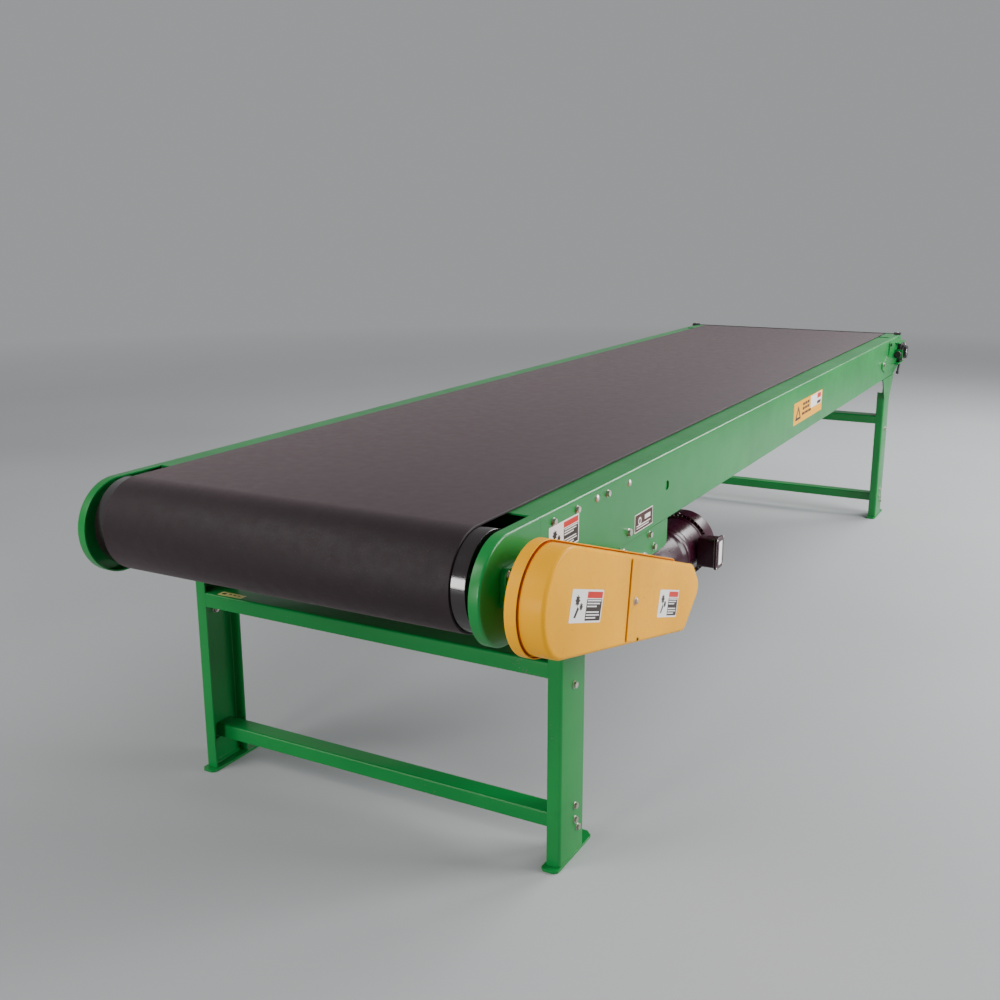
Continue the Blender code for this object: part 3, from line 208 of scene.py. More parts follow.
def spun(name, profile, place, facing, material, segments=32, smooth=30):
    """Turned piece that starts at a face and rises off it."""
    return revolve(name, profile, place, AXES[facing], material, segments, smooth)


def arc(cy, cz, radius, start, end, steps):
    points = []
    for k in range(steps + 1):
        angle = start + (end - start) * k / steps
        points.append((cy + radius * math.cos(angle), cz + radius * math.sin(angle)))
    return points


def circle(cy, cz, radius, segments=48):
    return arc(cy, cz, radius, 0.0, math.tau, segments)[:-1]


def corner_turn(here, before, after, radius):
    """Middle of a rounded corner, the spoke to its start and the angle that it turns."""
    before = (before - here).normalized()
    after = (after - here).normalized()
    half = before.angle(after) / 2
    middle = here + (before + after).normalized() * radius / math.sin(half)
    start = here + before * radius / math.tan(half) - middle
    end = here + after * radius / math.tan(half) - middle
    return middle, start, start.angle_signed(end)


def rounded(corners, steps=6):
    """Outline through (a, b, radius) corners, each rounded to its radius."""
    points = []
    places = [Vector(corner[:2]) for corner in corners]
    for i, (a, b, radius) in enumerate(corners):
        if radius <= 0:
            points.append((a, b))
            continue
        middle, start, turn = corner_turn(places[i], places[i - 1], places[(i + 1) % len(places)], radius)
        for k in range(steps + 1):
            points.append(tuple(middle + Matrix.Rotation(-turn * k / steps, 2) @ start))
    return points


def bent_strip(corners, thickness, bend=BEND, steps=5):
    """Closed section of a sheet folded along corners; its outer side is the side named by corners."""
    outer = []
    inner = []
    points = [Vector(c) for c in corners]
    for i, here in enumerate(points):
        if i in (0, len(points) - 1):
            ahead = points[1] - here if i == 0 else here - points[-2]
            normal = Vector((-ahead.y, ahead.x)).normalized()
            outer.append(here)
            inner.append(here + normal * thickness)
            continue
        middle, start, turn = corner_turn(here, points[i - 1], points[i + 1], bend)
        for k in range(steps + 1):
            spoke = Matrix.Rotation(-turn * k / steps, 2) @ start.normalized()
            outer.append(middle + spoke * bend)
            inner.append(middle + spoke * (bend - thickness))
    return [tuple(p) for p in outer] + [tuple(p) for p in reversed(inner)]


def boolean(target, cutters, operation="DIFFERENCE"):
    """Cut or join with exact booleans and keep the target's own material."""
    material = target.data.materials[0]
    for cutter in cutters:
        modifier = target.modifiers.new("cut", "BOOLEAN")
        modifier.operation = operation
        modifier.solver = "EXACT"
        modifier.object = cutter
    graph = bpy.context.evaluated_depsgraph_get()
    result = bpy.data.meshes.new_from_object(target.evaluated_get(graph))
    name = target.name
    for old in [target, *cutters]:
        bpy.data.objects.remove(old, do_unlink=True)
    return finish_mesh(name, result, material)


def soften(piece, width=0.0005, segments=2, angle=35):
    """Small rounded edges that catch the light."""
    modifier = piece.modifiers.new("edge", "BEVEL")
    modifier.width = width
    modifier.segments = segments
    modifier.limit_method = "ANGLE"
    modifier.angle_limit = math.radians(angle)
    modifier.harden_normals = False
    modifier.use_clamp_overlap = True
    return piece


def merge(name, parts):
    """One object from several, keeping every material."""
    mesh = bpy.data.meshes.new(name)
    work = bmesh.new()
    materials = []
    for part in parts:
        copy = part.data.copy()
        slots = []
        for material in copy.materials:
            if material not in materials:
                materials.append(material)
            slots.append(materials.index(material))
        copy.transform(part.matrix_world)
        start = len(work.faces)
        work.from_mesh(copy)
        work.faces.ensure_lookup_table()
        for face in work.faces[start:]:
            face.material_index = slots[face.material_index]
        bpy.data.meshes.remove(copy)
    work.to_mesh(mesh)
    work.free()
    for material in materials:
        mesh.materials.append(material)
    for part in parts:
        bpy.data.objects.remove(part, do_unlink=True)
    piece = bpy.data.objects.new(name, mesh)
    bpy.context.scene.collection.objects.link(piece)
    return piece


def fit(piece, body, slot, *nodes):
    """Ride a body and stand in for CAD nodes. The finish slot argument is not used."""
    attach(piece, body)
    if nodes:
        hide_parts(*nodes)
    return piece


def at(x, y, z):
    """Point from X off the middle plane, Y from the drive rim's front and Z off the floor."""
    return Vector((MID_X + x, FRONT_Y + y, z))


# ------------------------------------------------------------------ materials

def shader_material(name, colour, roughness, metallic=0.0, coat=0.0, specular=0.5):
    material = bpy.data.materials.new(name)
    material.use_nodes = True
    shader = material.node_tree.nodes["Principled BSDF"]
    shader.inputs["Base Color"].default_value = (*colour, 1.0)
    shader.inputs["Roughness"].default_value = roughness
    shader.inputs["Metallic"].default_value = metallic
    shader.inputs["Coat Weight"].default_value = coat
    shader.inputs["Coat Roughness"].default_value = 0.08
    shader.inputs["Specular IOR Level"].default_value = specular
    return material, material.node_tree, shader


def noise(tree, scale, detail=3.0, stretch=(1.0, 1.0, 1.0), roughness=0.5):
    """Noise in the piece's own space."""
    coords = tree.nodes.new("ShaderNodeTexCoord")
    mapping = tree.nodes.new("ShaderNodeMapping")
    mapping.inputs["Scale"].default_value = stretch
    texture = tree.nodes.new("ShaderNodeTexNoise")
    texture.inputs["Scale"].default_value = scale
    texture.inputs["Detail"].default_value = detail
    texture.inputs["Roughness"].default_value = roughness
    tree.links.new(coords.outputs["Object"], mapping.inputs["Vector"])
    tree.links.new(mapping.outputs["Vector"], texture.inputs["Vector"])
    return texture.outputs["Fac"]


def ramp(tree, value, stops):
    """Colour ramp from (position, colour) stops."""
    node = tree.nodes.new("ShaderNodeValToRGB")
    elements = node.color_ramp.elements
    while len(elements) < len(stops):
        elements.new(0.5)
    for element, (position, colour) in zip(elements, stops):
        element.position = position
        element.color = (*colour, 1.0) if len(colour) == 3 else colour
    tree.links.new(value, node.inputs["Fac"])
    return node.outputs["Color"]


def mask(tree, value, low, high):
    """Black up to low, white from high."""
    return ramp(tree, value, [(low, (0.0,) * 3), (high, (1.0,) * 3)])


def mix(tree, share, first, second, blend="MIX"):
    """Mix two colours, each a socket or a plain colour."""
    node = tree.nodes.new("ShaderNodeMix")
    node.data_type = "RGBA"
    node.blend_type = blend
    for value, socket in ((share, node.inputs[0]), (first, node.inputs[6]), (second, node.inputs[7])):
        if hasattr(value, "links"):
            tree.links.new(value, socket)
        elif isinstance(value, float):
            socket.default_value = value
        else:
            socket.default_value = (*value, 1.0)
    return node.outputs[2]


def remap(tree, value, low, high):
    node = tree.nodes.new("ShaderNodeMapRange")
    node.inputs["To Min"].default_value = low
    node.inputs["To Max"].default_value = high
    tree.links.new(value, node.inputs["Value"])
    return node.outputs["Result"]


def bump(tree, shader, layers, distance=0.001):
    """Stack of (height, strength) bumps on one shader."""
    last = None
    for height, strength in layers:
        node = tree.nodes.new("ShaderNodeBump")
        node.inputs["Strength"].default_value = strength
        node.inputs["Distance"].default_value = distance
        tree.links.new(height, node.inputs["Height"])
        if last:
            tree.links.new(last, node.inputs["Normal"])
        last = node.outputs["Normal"]
    tree.links.new(last, shader.inputs["Normal"])


def shade(colour, factor):
    return tuple(channel * factor for channel in colour)


def enamel(name, colour, roughness=0.30, coat=0.25, chips=0.60, specular=0.5):
    """Sprayed enamel: orange peel, slow colour drift, faint smears and rare small chips."""
    chip_colour = (0.16, 0.15, 0.14)
    material, tree, shader = shader_material(name, colour, roughness, coat=coat, specular=specular)
    drift = noise(tree, 3.2, 2.0)
    body = ramp(tree, drift, [(0.30, shade(colour, 0.88)), (0.70, shade(colour, 1.12))])
    smear = mask(tree, noise(tree, 26.0, 5.0, (1.0, 0.35, 1.0)), 0.60, 0.78)
    dulled = mix(tree, remap(tree, smear, 0.0, 0.22), body, shade(colour, 0.62))
    speck = noise(tree, 210.0, 2.0)
    patch = noise(tree, 9.0, 3.0)
    product = tree.nodes.new("ShaderNodeMath")
    product.operation = "MULTIPLY"
    tree.links.new(speck, product.inputs[0])
    tree.links.new(patch, product.inputs[1])
    chip = mask(tree, product.outputs[0], chips * 0.78, chips * 0.80)
    tree.links.new(mix(tree, chip, dulled, chip_colour), shader.inputs["Base Color"])
    tree.links.new(remap(tree, noise(tree, 14.0, 4.0), roughness - 0.07, roughness + 0.11),
                   shader.inputs["Roughness"])
    bump(tree, shader, [(noise(tree, 420.0, 1.0), 0.10), (noise(tree, 22.0, 2.0), 0.05)])
    return material


def belt_cover():
    """Friction-surface belt: fine fabric grain, mottled dark brown with worn lighter streaks."""
    dark = (0.006, 0.0025, 0.004)
    warm = (0.014, 0.0060, 0.0085)
    material, tree, shader = shader_material("belt_cover", warm, 0.62, specular=0.36)
    cloud = ramp(tree, noise(tree, 2.2, 4.0), [(0.28, shade(warm, 0.82)), (0.72, shade(warm, 1.24))])
    streak = mask(tree, noise(tree, 24.0, 4.0, (1.0, 0.08, 1.0)), 0.42, 0.74)
    worn = mix(tree, remap(tree, streak, 0.0, 0.30), cloud, (0.034, 0.016, 0.021))
    grain = mask(tree, noise(tree, 620.0, 2.0), 0.34, 0.66)
    grained = mix(tree, remap(tree, grain, 0.0, 0.55), worn, dark)
    fleck = mask(tree, noise(tree, 330.0, 1.0), 0.70, 0.74)
    final = mix(tree, remap(tree, fleck, 0.0, 0.42), grained, (0.085, 0.055, 0.062))
    tree.links.new(final, shader.inputs["Base Color"])
    tree.links.new(remap(tree, noise(tree, 40.0, 4.0), 0.50, 0.72), shader.inputs["Roughness"])
    shader.inputs["Sheen Weight"].default_value = 0.12
    shader.inputs["Sheen Roughness"].default_value = 0.45
    shader.inputs["Sheen Tint"].default_value = (0.86, 0.66, 0.70, 1.0)
    bump(tree, shader, [(noise(tree, 520.0, 2.0), 0.38), (noise(tree, 95.0, 3.0), 0.16)])
    return material


def metal(name, colour, roughness, grain=(1.0, 1.0, 1.0), tarnish=0.35):
    """Bare or plated steel with directional grain and dull patches."""
    material, tree, shader = shader_material(name, colour, roughness, metallic=1.0)
    patch = ramp(tree, noise(tree, 38.0, 4.0), [(0.35, shade(colour, 1.0 - tarnish)), (0.65, colour)])
    tree.links.new(patch, shader.inputs["Base Color"])
    line = noise(tree, 260.0, 3.0, grain)
    tree.links.new(remap(tree, line, roughness - 0.08, roughness + 0.14), shader.inputs["Roughness"])
    bump(tree, shader, [(line, 0.14)])
    return material


def print_film(name, colour, roughness=0.32):
    """Printed label film: slight sheen, faint mottling and scuffs."""
    material, tree, shader = shader_material(name, colour, roughness, specular=0.15)
    scuff = mask(tree, noise(tree, 60.0, 5.0), 0.56, 0.80)
    tree.links.new(mix(tree, remap(tree, scuff, 0.0, 0.28), colour, shade(colour, 0.72)),
                   shader.inputs["Base Color"])
    tree.links.new(remap(tree, noise(tree, 30.0), roughness - 0.06, roughness + 0.10),
                   shader.inputs["Roughness"])
    bump(tree, shader, [(noise(tree, 300.0, 1.0), 0.05)])
    return material


def moulded(name, colour, roughness=0.45):
    """Textured black plastic or rubber."""
    material, tree, shader = shader_material(name, colour, roughness)
    tree.links.new(ramp(tree, noise(tree, 45.0, 3.0), [(0.3, shade(colour, 0.8)), (0.7, shade(colour, 1.3))]),
                   shader.inputs["Base Color"])
    bump(tree, shader, [(noise(tree, 700.0, 1.0), 0.16)])
    return material


GREEN = enamel("green_enamel", (0.008, 0.220, 0.042), roughness=0.30, coat=0.10, specular=0.30)
YELLOW = enamel("yellow_enamel", (0.95, 0.42, 0.0), roughness=0.26, coat=0.0, specular=0.06)
# Dark orange used only as painted shade: strips in the guard's seam grooves and the shadow band behind its
# lip.
SHADE_ORANGE = enamel("painted_shade_orange_enamel", (0.46, 0.075, 0.0), roughness=0.40, coat=0.0, specular=0.05)
GLOSS_BLACK = enamel("gloss_black_enamel", (0.014, 0.009, 0.010), roughness=0.14, coat=0.6, chips=0.66)
FLAT_BLACK = enamel("flat_black_enamel", (0.014, 0.013, 0.014), roughness=0.42, coat=0.0)
MAROON = enamel("maroon_enamel", (0.034, 0.002, 0.012), roughness=0.26, coat=0.08, chips=0.66, specular=0.30)
BELT = belt_cover()
ZINC = metal("zinc_plated_steel", (0.74, 0.64, 0.60), 0.34)
MACHINED = metal("machined_steel", (0.50, 0.50, 0.51), 0.24, (0.06, 1.0, 1.0))
OILED = metal("oiled_chain_steel", (0.19, 0.17, 0.15), 0.36)
PLASTIC = moulded("fan_plastic", (0.018, 0.018, 0.019))
WHITE_FILM = print_film("white_film", (0.93, 0.90, 0.87))
RED_FILM = print_film("red_film", (0.62, 0.020, 0.010))
BLACK_FILM = print_film("black_film", (0.035, 0.022, 0.018))
YELLOW_FILM = print_film("yellow_film", (0.95, 0.42, 0.0))
BROWN_FILM = print_film("brown_film", (0.060, 0.020, 0.014))
PALE_FILM = print_film("pale_yellow_film", (0.90, 0.80, 0.30))


# ------------------------------------------------------------------ stage, light and camera

FLOOR_RADIUS = 200.0
FLOOR_FADE = (3.5, 11.0)
SURROUND_TINT = (0.96, 0.98, 1.0)
SURROUND_STRENGTH = 0.36
CAMERA_LENS = 41.47
CAMERA_PLACE = (1.5402, -1.7550, 1.4652)
CAMERA_HEADING = (-0.4673, 0.8494, -0.2452)
CAMERA_RIGHT = (0.8765, 0.4815, -0.0026)


def area_light(name, place, aim, size, power, colour=(1.0, 1.0, 1.0), height=None):
    light = bpy.data.lights.new(name, "AREA")
    light.shape = "RECTANGLE"
    light.size = size
    light.size_y = height or size
    light.energy = power
    light.color = colour
    lamp = bpy.data.objects.new(name, light)
    lamp.location = place
    lamp.rotation_euler = (Vector(aim) - Vector(place)).to_track_quat("-Z", "Y").to_euler()
    bpy.context.scene.collection.objects.link(lamp)
    return lamp


def camera():
    """Three-quarter view from the drive end, just above the belt."""
    data = bpy.data.cameras.new("camera")
    data.lens = CAMERA_LENS
    data.sensor_width = 36.0
    item = bpy.data.objects.new("camera", data)
    item.location = at(*CAMERA_PLACE)
    heading = Vector(CAMERA_HEADING).normalized()
    right = Vector(CAMERA_RIGHT).normalized()
    up = right.cross(heading).normalized()
    item.rotation_euler = Matrix((right, up, -heading)).transposed().to_euler()
    bpy.context.scene.collection.objects.link(item)
    bpy.context.scene.camera = item


def floor_material(glow):
    """Pale floor paint that fades into the surround a long way off."""
    material, tree, shader = shader_material("floor_paint", (0.45, 0.46, 0.47), 0.62, specular=0.0)
    tone = ramp(tree, noise(tree, 0.6, 2.0), [(0.3, (0.43, 0.44, 0.45)), (0.7, (0.47, 0.48, 0.49))])
    coords = tree.nodes.new("ShaderNodeTexCoord")
    distance = tree.nodes.new("ShaderNodeVectorMath")
    distance.operation = "LENGTH"
    tree.links.new(coords.outputs["Object"], distance.inputs[0])
    fade = tree.nodes.new("ShaderNodeMapRange")
    fade.inputs["From Min"].default_value, fade.inputs["From Max"].default_value = FLOOR_FADE
    tree.links.new(distance.outputs["Value"], fade.inputs["Value"])
    tree.links.new(mix(tree, fade.outputs["Result"], tone, (0.0, 0.0, 0.0)), shader.inputs["Base Color"])
    tree.links.new(mix(tree, fade.outputs["Result"], (0.0, 0.0, 0.0), glow), shader.inputs["Emission Color"])
    shader.inputs["Emission Strength"].default_value = 1.0
    return material


def studio():
    """Pale floor, even pale surround and soft lights."""
    mesh = bpy.data.meshes.new("floor")
    rim = [(x, y, 0.0) for x, y in circle(0.0, 0.0, FLOOR_RADIUS, 64)]
    mesh.from_pydata(rim, [], [tuple(range(64))])
    mesh.materials.append(floor_material(shade(SURROUND_TINT, SURROUND_STRENGTH)))
    floor = bpy.data.objects.new("floor", mesh)
    bpy.context.scene.collection.objects.link(floor)
    world = bpy.data.worlds.new("surround")
    world.use_nodes = True
    background = world.node_tree.nodes["Background"]
    background.inputs["Color"].default_value = (*SURROUND_TINT, 1.0)
    background.inputs["Strength"].default_value = SURROUND_STRENGTH
    bpy.context.scene.world = world
    area_light("key", at(-2.6, -2.6, 3.9), at(0.0, 1.2, 0.6), 2.4, 120.0, (1.0, 0.985, 0.96))
    area_light("side_fill", at(4.4, 3.2, 2.4), at(0.5, 1.6, 0.7), 2.6, 300.0, (0.98, 0.99, 1.0))
    area_light("front_strip", at(-0.4, -4.4, 1.15), at(0.0, 0.2, 0.7), 0.9, 95.0, (1.0, 0.99, 0.97), 1.6)
    area_light("top_back", at(2.2, 7.0, 4.0), at(0.6, 3.2, 0.6), 3.2, 330.0)


camera()
studio()


# ------------------------------------------------------------------ fasteners

def hex_head(place, facing, radius, height, material, turn=0.0):
    """Hexagon head or nut with its corners chamfered."""
    out, across, lift = AXES[facing]
    loops = []
    rise = height * 0.16
    for along, share in ((0.0, 1.0), (height - rise, 1.0), (height, 0.90), (height, 0.86)):
        loop = []
        for angle in angles(24):
            corner = math.cos(math.pi / 6) / math.cos((angle % (math.pi / 3)) - math.pi / 6)
            limit = radius * share
            reach = min(radius * corner, limit)
            spoke = across * math.cos(angle + turn) + lift * math.sin(angle + turn)
            loop.append(Vector(place) + out * along + spoke * reach)
        loops.append(loop)
    return loft("hex", loops, material, 25)


def hex_bolt(place, facing, size=0.008, material=None, nut=False, washer=True, turn=0.2):
    """Bolt head, or nut with its thread end, on a washer; size is the thread diameter."""
    material = material or ZINC
    out = AXES[facing][0]
    seat = Vector(place)
    parts = []
    if washer:
        rim = size * 1.08
        parts.append(spun("washer", [(0.0, rim), (0.0010, rim), (0.0014, rim - 0.0004)], seat, facing,
                          material))
        seat = seat + out * 0.0014
    height = size * (0.82 if nut else 0.66)
    parts.append(hex_head(seat, facing, size * 0.95, height, material, turn))
    if nut:
        tip = size / 2
        profile = [(height - 0.001, tip), (height + size * 0.30, tip), (height + size * 0.40, tip - 0.001)]
        parts.append(spun("thread", profile, seat, facing, material, 20))
    return parts


def carriage_bolt(place, facing, size=0.008, material=None):
    """Low round head."""
    material = material or ZINC
    radius = size * 1.05
    profile = []
    for k in range(7):
        angle = math.radians(90 * k / 6)
        profile.append((size * 0.52 * math.sin(angle), max(radius * math.cos(angle), 0.0004)))
    return [spun("dome", profile, place, facing, material, 28, 60)]


# ------------------------------------------------------------------ frame

HOLE = (0.9715, 0.776, 0.0125)
BOLT_LINE_Z = 0.838
SLOT_HALF = 0.0185
SLOT_REACH = 0.027
END_CHAMFER = (0.155, 0.032)
RIM_RADIUS = DRIVE.y - FRONT_Y - 0.0065


def side_section(side):
    """Channel section: web outside, both flanges folded inwards."""
    path = [(HALF_WIDTH - BOTTOM_FLANGE, BOTTOM), (HALF_WIDTH, BOTTOM), (HALF_WIDTH, TOP),
            (HALF_WIDTH - FLANGE, TOP)]
    return [(MID_X + side * a, b) for a, b in bent_strip(path, SHEET)]


def slot_outline(cy, cz, half_reach, radius, steps=12):
    points = arc(cy + half_reach, cz, radius, -math.pi / 2, math.pi / 2, steps)
    return points + arc(cy - half_reach, cz, radius, math.pi / 2, math.pi * 1.5, steps)


def take_up_slot():
    low = MID_X - HALF_WIDTH - 0.1
    high = MID_X + HALF_WIDTH + 0.1
    outline = slot_outline(TAIL.y - 0.025, TAIL.z, SLOT_REACH, SLOT_HALF)
    return extrude("slot", outline, "YZ", low, high, GREEN)


def side_channel(side_name, side):
    channel = extrude("side_channel_" + side_name, side_section(side), "XZ", START_Y, END_Y, GREEN)
    run, rise = END_CHAMFER
    corner = [(END_Y - run, BOTTOM + 0.0001), (END_Y - run, BOTTOM - 0.02), (END_Y + 0.02, BOTTOM - 0.02),
              (END_Y + 0.02, BOTTOM + rise + 0.02), (END_Y, BOTTOM + rise)]
    reach = (MID_X - HALF_WIDTH - 0.1, MID_X + HALF_WIDTH + 0.1)
    wedge = extrude("wedge", corner, "YZ", *reach, GREEN)
    hole = extrude("hole", circle(FRONT_Y + HOLE[0], HOLE[1], HOLE[2], 32), "YZ", *reach, GREEN)
    channel = boolean(channel, [wedge, hole, take_up_slot()])
    fit(soften(channel, 0.0004), "frame", "frame_paint", "side_frame_" + side_name)
    reach = between(side, SHEET + GAP, SHEET + 0.0030)
    backing = extrude("hole_backing", circle(FRONT_Y + HOLE[0], HOLE[1], HOLE[2] * 2, 40), "YZ", *reach,
                      GREEN)
    fit(soften(backing, 0.0004), "frame", "frame_paint")


def end_outline(inset, back):
    """Half-round nose, then back to the channel with a rising lower edge."""
    radius = RIM_RADIUS - inset
    cy = FRONT_Y + RIM_RADIUS
    cz = TOP - RIM_RADIUS
    points = arc(cy, cz, radius, math.pi / 2, math.pi * 1.5, 72)
    points.append((cy + 0.075, cz - radius))
    rise = (back - cy - 0.075) / (START_Y - cy - 0.075)
    low = (cz - RIM_RADIUS) + (BOTTOM - cz + RIM_RADIUS) * rise
    points.append((back, low + inset))
    points.append((back, TOP - inset))
    return points


def rim_loops(side, profile, back):
    loops = []
    for depth, inset in profile:
        x = web_x(side, depth)
        loops.append([(x, a, b) for a, b in end_outline(inset, back)])
    return loops


def end_plate(side_name, side):
    """Plate at the drive end with its rim rolled in round the nose."""
    outer = [(FLANGE, 0.0), (BEND, 0.0)]
    inner = [(FLANGE + 0.02, SHEET), (BEND, SHEET)]
    for k in range(1, 7):
        angle = math.radians(90 * k / 6)
        outer.append((BEND * (1 - math.sin(angle)), BEND * (1 - math.cos(angle))))
        tight = BEND - SHEET
        inner.append((BEND - tight * math.sin(angle), SHEET + tight * (1 - math.cos(angle))))
    back = START_Y - GAP
    plate = loft("end_plate_" + side_name, rim_loops(side, outer, back), GREEN, 40)
    pocket = loft("pocket", rim_loops(side, inner, back + 0.01), GREEN)
    bore = extrude("bore", circle(DRIVE.y, DRIVE.z, 0.027, 48), "YZ", MID_X - 0.7, MID_X + 0.7, GREEN)
    plate = boolean(plate, [pocket, bore])
    fit(soften(plate, 0.0004), "frame", "frame_paint", "drive_end_plate_" + side_name)


def bed():
    half = BED_HIGH.x - MID_X
    under = TOP - SHEET
    corners = [(half, BED_LOW.z), (half, TOP), (-half, TOP), (-half, BED_LOW.z),
               (-half + SHEET, BED_LOW.z), (-half + SHEET, under), (half - SHEET, under),
               (half - SHEET, BED_LOW.z)]
    section = [(MID_X + a, b) for a, b in corners]
    pan = extrude("slider_pan", section, "XZ", BED_LOW.y, BED_HIGH.y, GREEN)
    fit(pan, "frame", "frame_paint", "slider_bed")


def braces():
    for index in (1, 2, 3):
        low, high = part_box("cross_brace_%d" % index)
        path = [(high.y, low.z), (high.y, high.z), (low.y, high.z), (low.y, low.z)]
        section = bent_strip(path, SHEET, 0.005)
        piece = extrude("brace_channel_%d" % index, section, "YZ", low.x, high.x, GREEN)
        fit(soften(piece, 0.0004), "frame", "frame_paint", "cross_brace_%d" % index)


def frame_bolts(side_name, side):
    """Bolts through the web into the bed lip, first brace, end plate and snub roller."""
    facing = outward(side)
    x = HALF_WIDTH * side
    parts = []
    for y in (0.3105, centre("cross_brace_1").y - FRONT_Y + 0.0053, 0.5880):
        parts += hex_bolt(at(x, y, BOLT_LINE_Z), facing, turn=0.5 + y)
    for y, z in ((0.5308, 0.8385), (0.717, 0.8345)):
        parts += carriage_bolt(at(x, y, z), facing, 0.0085)
    spot = centre("snub_axle")
    parts += hex_bolt(at(x, spot.y - FRONT_Y, spot.z), facing, 0.0095, turn=0.1)
    fit(merge("frame_bolts_" + side_name, parts), "frame", "zinc_steel")


# ------------------------------------------------------------------ belt

def tangent(pulley, roller, mirrored=False):
    """Angle at which the belt leaves a pulley for a roller on its other side."""
    dy = roller[0] - pulley[0]
    dz = roller[1] - pulley[1]
    opening = math.acos((pulley[2] + roller[2]) / math.hypot(dy, dz))
    heading = math.atan2(dz, dy)
    return heading + opening if mirrored else heading - opening + math.tau


def belt_line():
    """Points and outward normals of the belt's middle line."""
    clear = 0.0006
    half = BELT_THICK / 2
    drive = (DRIVE.y, DRIVE.z, DRIVE_RADIUS + clear + half)
    tail = (TAIL.y, TAIL.z, TAIL_RADIUS + clear + half)
    under = reach("snub_roller") + clear + half
    first = centre("snub_roller")
    final = centre("return_roller_2")
    snub = (first.y, first.z, under)
    last = (final.y, final.z, under)
    leave = tangent(drive, snub)
    join = tangent(tail, last, True)
    line = []
    for wheel, start, end, steps, facing in (
            (drive, math.pi / 2, leave, 110, 1), (snub, leave - math.pi, math.pi / 2, 8, -1),
            (last, math.pi / 2, join + math.pi, 6, -1), (tail, join, math.pi / 2, 90, 1)):
        for k in range(steps + 1):
            angle = start + (end - start) * k / steps
            spoke = Vector((math.cos(angle), math.sin(angle)))
            line.append((Vector(wheel[:2]) + spoke * wheel[2], spoke * facing))
    return line


def belt():
    """Endless belt with rounded edges, laid over the pulleys and rollers."""
    half = (BELT_HIGH.x - BELT_LOW.x) / 2
    deep = BELT_THICK / 2
    edge = 0.0014
    section = []
    for cx, cz, start in ((half - edge, deep - edge, 0), (-half + edge, deep - edge, 90),
                          (-half + edge, -deep + edge, 180), (half - edge, -deep + edge, 270)):
        section += arc(cx, cz, edge, math.radians(start), math.radians(start + 90), 3)
    loops = []
    line = belt_line()
    for i, (point, normal) in enumerate(line):
        loops.append(belt_loop(section, point, normal))
        ahead = line[(i + 1) % len(line)]
        gap = (ahead[0] - point).length
        for k in range(1, int(gap / 0.10)):
            share = k / int(gap / 0.10)
            loops.append(belt_loop(section, point.lerp(ahead[0], share),
                                   normal.lerp(ahead[1], share).normalized()))
    piece = loft("belt_cover", loops, BELT, 60, closed=True)
    start = (MID_X, centre("return_roller_2").y + 0.05, TAIL.z)
    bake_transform(piece)
    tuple(start)
    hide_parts("belt")


def belt_loop(section, point, normal):
    return [(MID_X + a, point.x + normal.x * b, point.y + normal.y * b) for a, b in section]


# ------------------------------------------------------------------ pulleys and rollers

def pulley(name, node, place, body, radius):
    """Shell with turned ends, inset discs and a bolted hub bushing."""
    half = half_width(node)
    wall = 0.0065
    inset = 0.016
    disc = 0.012
    bore = 0.0193 if radius > 0.09 else 0.0153
    hub = bore + 0.022
    fillet = 0.004
    inner = radius - wall
    end = [(half - 0.0022, radius), (half - 0.0006, radius - 0.0006), (half, radius - 0.0022), (half, inner),
           (half - inset + fillet, inner), (half - inset + 0.001, inner - 0.0012),
           (half - inset, inner - fillet), (half - inset, hub + fillet), (half - inset + 0.0012, hub + 0.001),
           (half - inset + fillet, hub), (half - 0.0035, hub), (half - 0.002, hub - 0.0015),
           (half - 0.002, bore), (half - inset - disc, bore), (half - inset - disc, inner)]
    profile = end + [(-a, r) for a, r in reversed(end)]
    drum = turned(name, profile, place, GLOSS_BLACK, "X", 112, True)
    soften(drum, 0.0003)
    fit(drum, body, "pulley_enamel", node)
    parts = []
    for side, facing in ((-1, "-X"), (1, "+X")):
        for k in range(3):
            angle = math.tau * k / 3 + 0.4
            spot = Vector(place) + Vector((side * (half - 0.002), (bore + 0.011) * math.cos(angle),
                                           (bore + 0.011) * math.sin(angle)))
            parts += hex_bolt(spot, facing, 0.0048, washer=False)
    fit(merge(name + "_hub_screws", parts), body, "zinc_steel")


def roller(node, body):
    """Return roller: tube with pressed end cups round a ball bearing."""
    place = centre(node)
    half = half_width(node)
    radius = reach(node)
    bore = 0.0068
    end = [(half - 0.0018, radius), (half - 0.0005, radius - 0.0005), (half, radius - 0.0018),
           (half, radius - 0.0035), (half - 0.003, radius - 0.0045), (half - 0.003, 0.0150),
           (half - 0.001, 0.0140), (half - 0.001, 0.0115), (half - 0.004, 0.0108), (half - 0.004, bore),
           (half - 0.013, bore), (half - 0.013, radius - 0.003)]
    profile = end + [(-a, r) for a, r in reversed(end)]
    tube = turned(node + "_tube", profile, place, ZINC, "X", 64, True)
    fit(soften(tube, 0.0002), body, "zinc_steel", node)


# ------------------------------------------------------------------ bearings and take-up

def rings(name, node, outlines, bore, place, material, side, body, slot):
    """Stack of outlines off a face, bored through for the shaft."""
    solids = []
    for outline, low, high in outlines:
        solids.append(extrude("layer", outline, "YZ", *between(side, -low, -high), material))
    base = solids[0]
    base.name = name
    piece = boolean(base, solids[1:], "UNION")
    hole = extrude("bore", circle(place.y, place.z, bore, 48), "YZ", MID_X - 0.8, MID_X + 0.8, material)
    piece = boolean(piece, [hole])
    return fit(soften(piece, 0.0010, 3), body, slot, node)


CORNERS = ((-1, -1), (1, -1), (1, 1), (-1, 1))


def square(place, half_y, half_z, corner, steps=8):
    corners = []
    for a, b in CORNERS:
        corners.append((place.y + a * half_y, place.z + b * half_z, corner))
    return rounded(corners, steps)


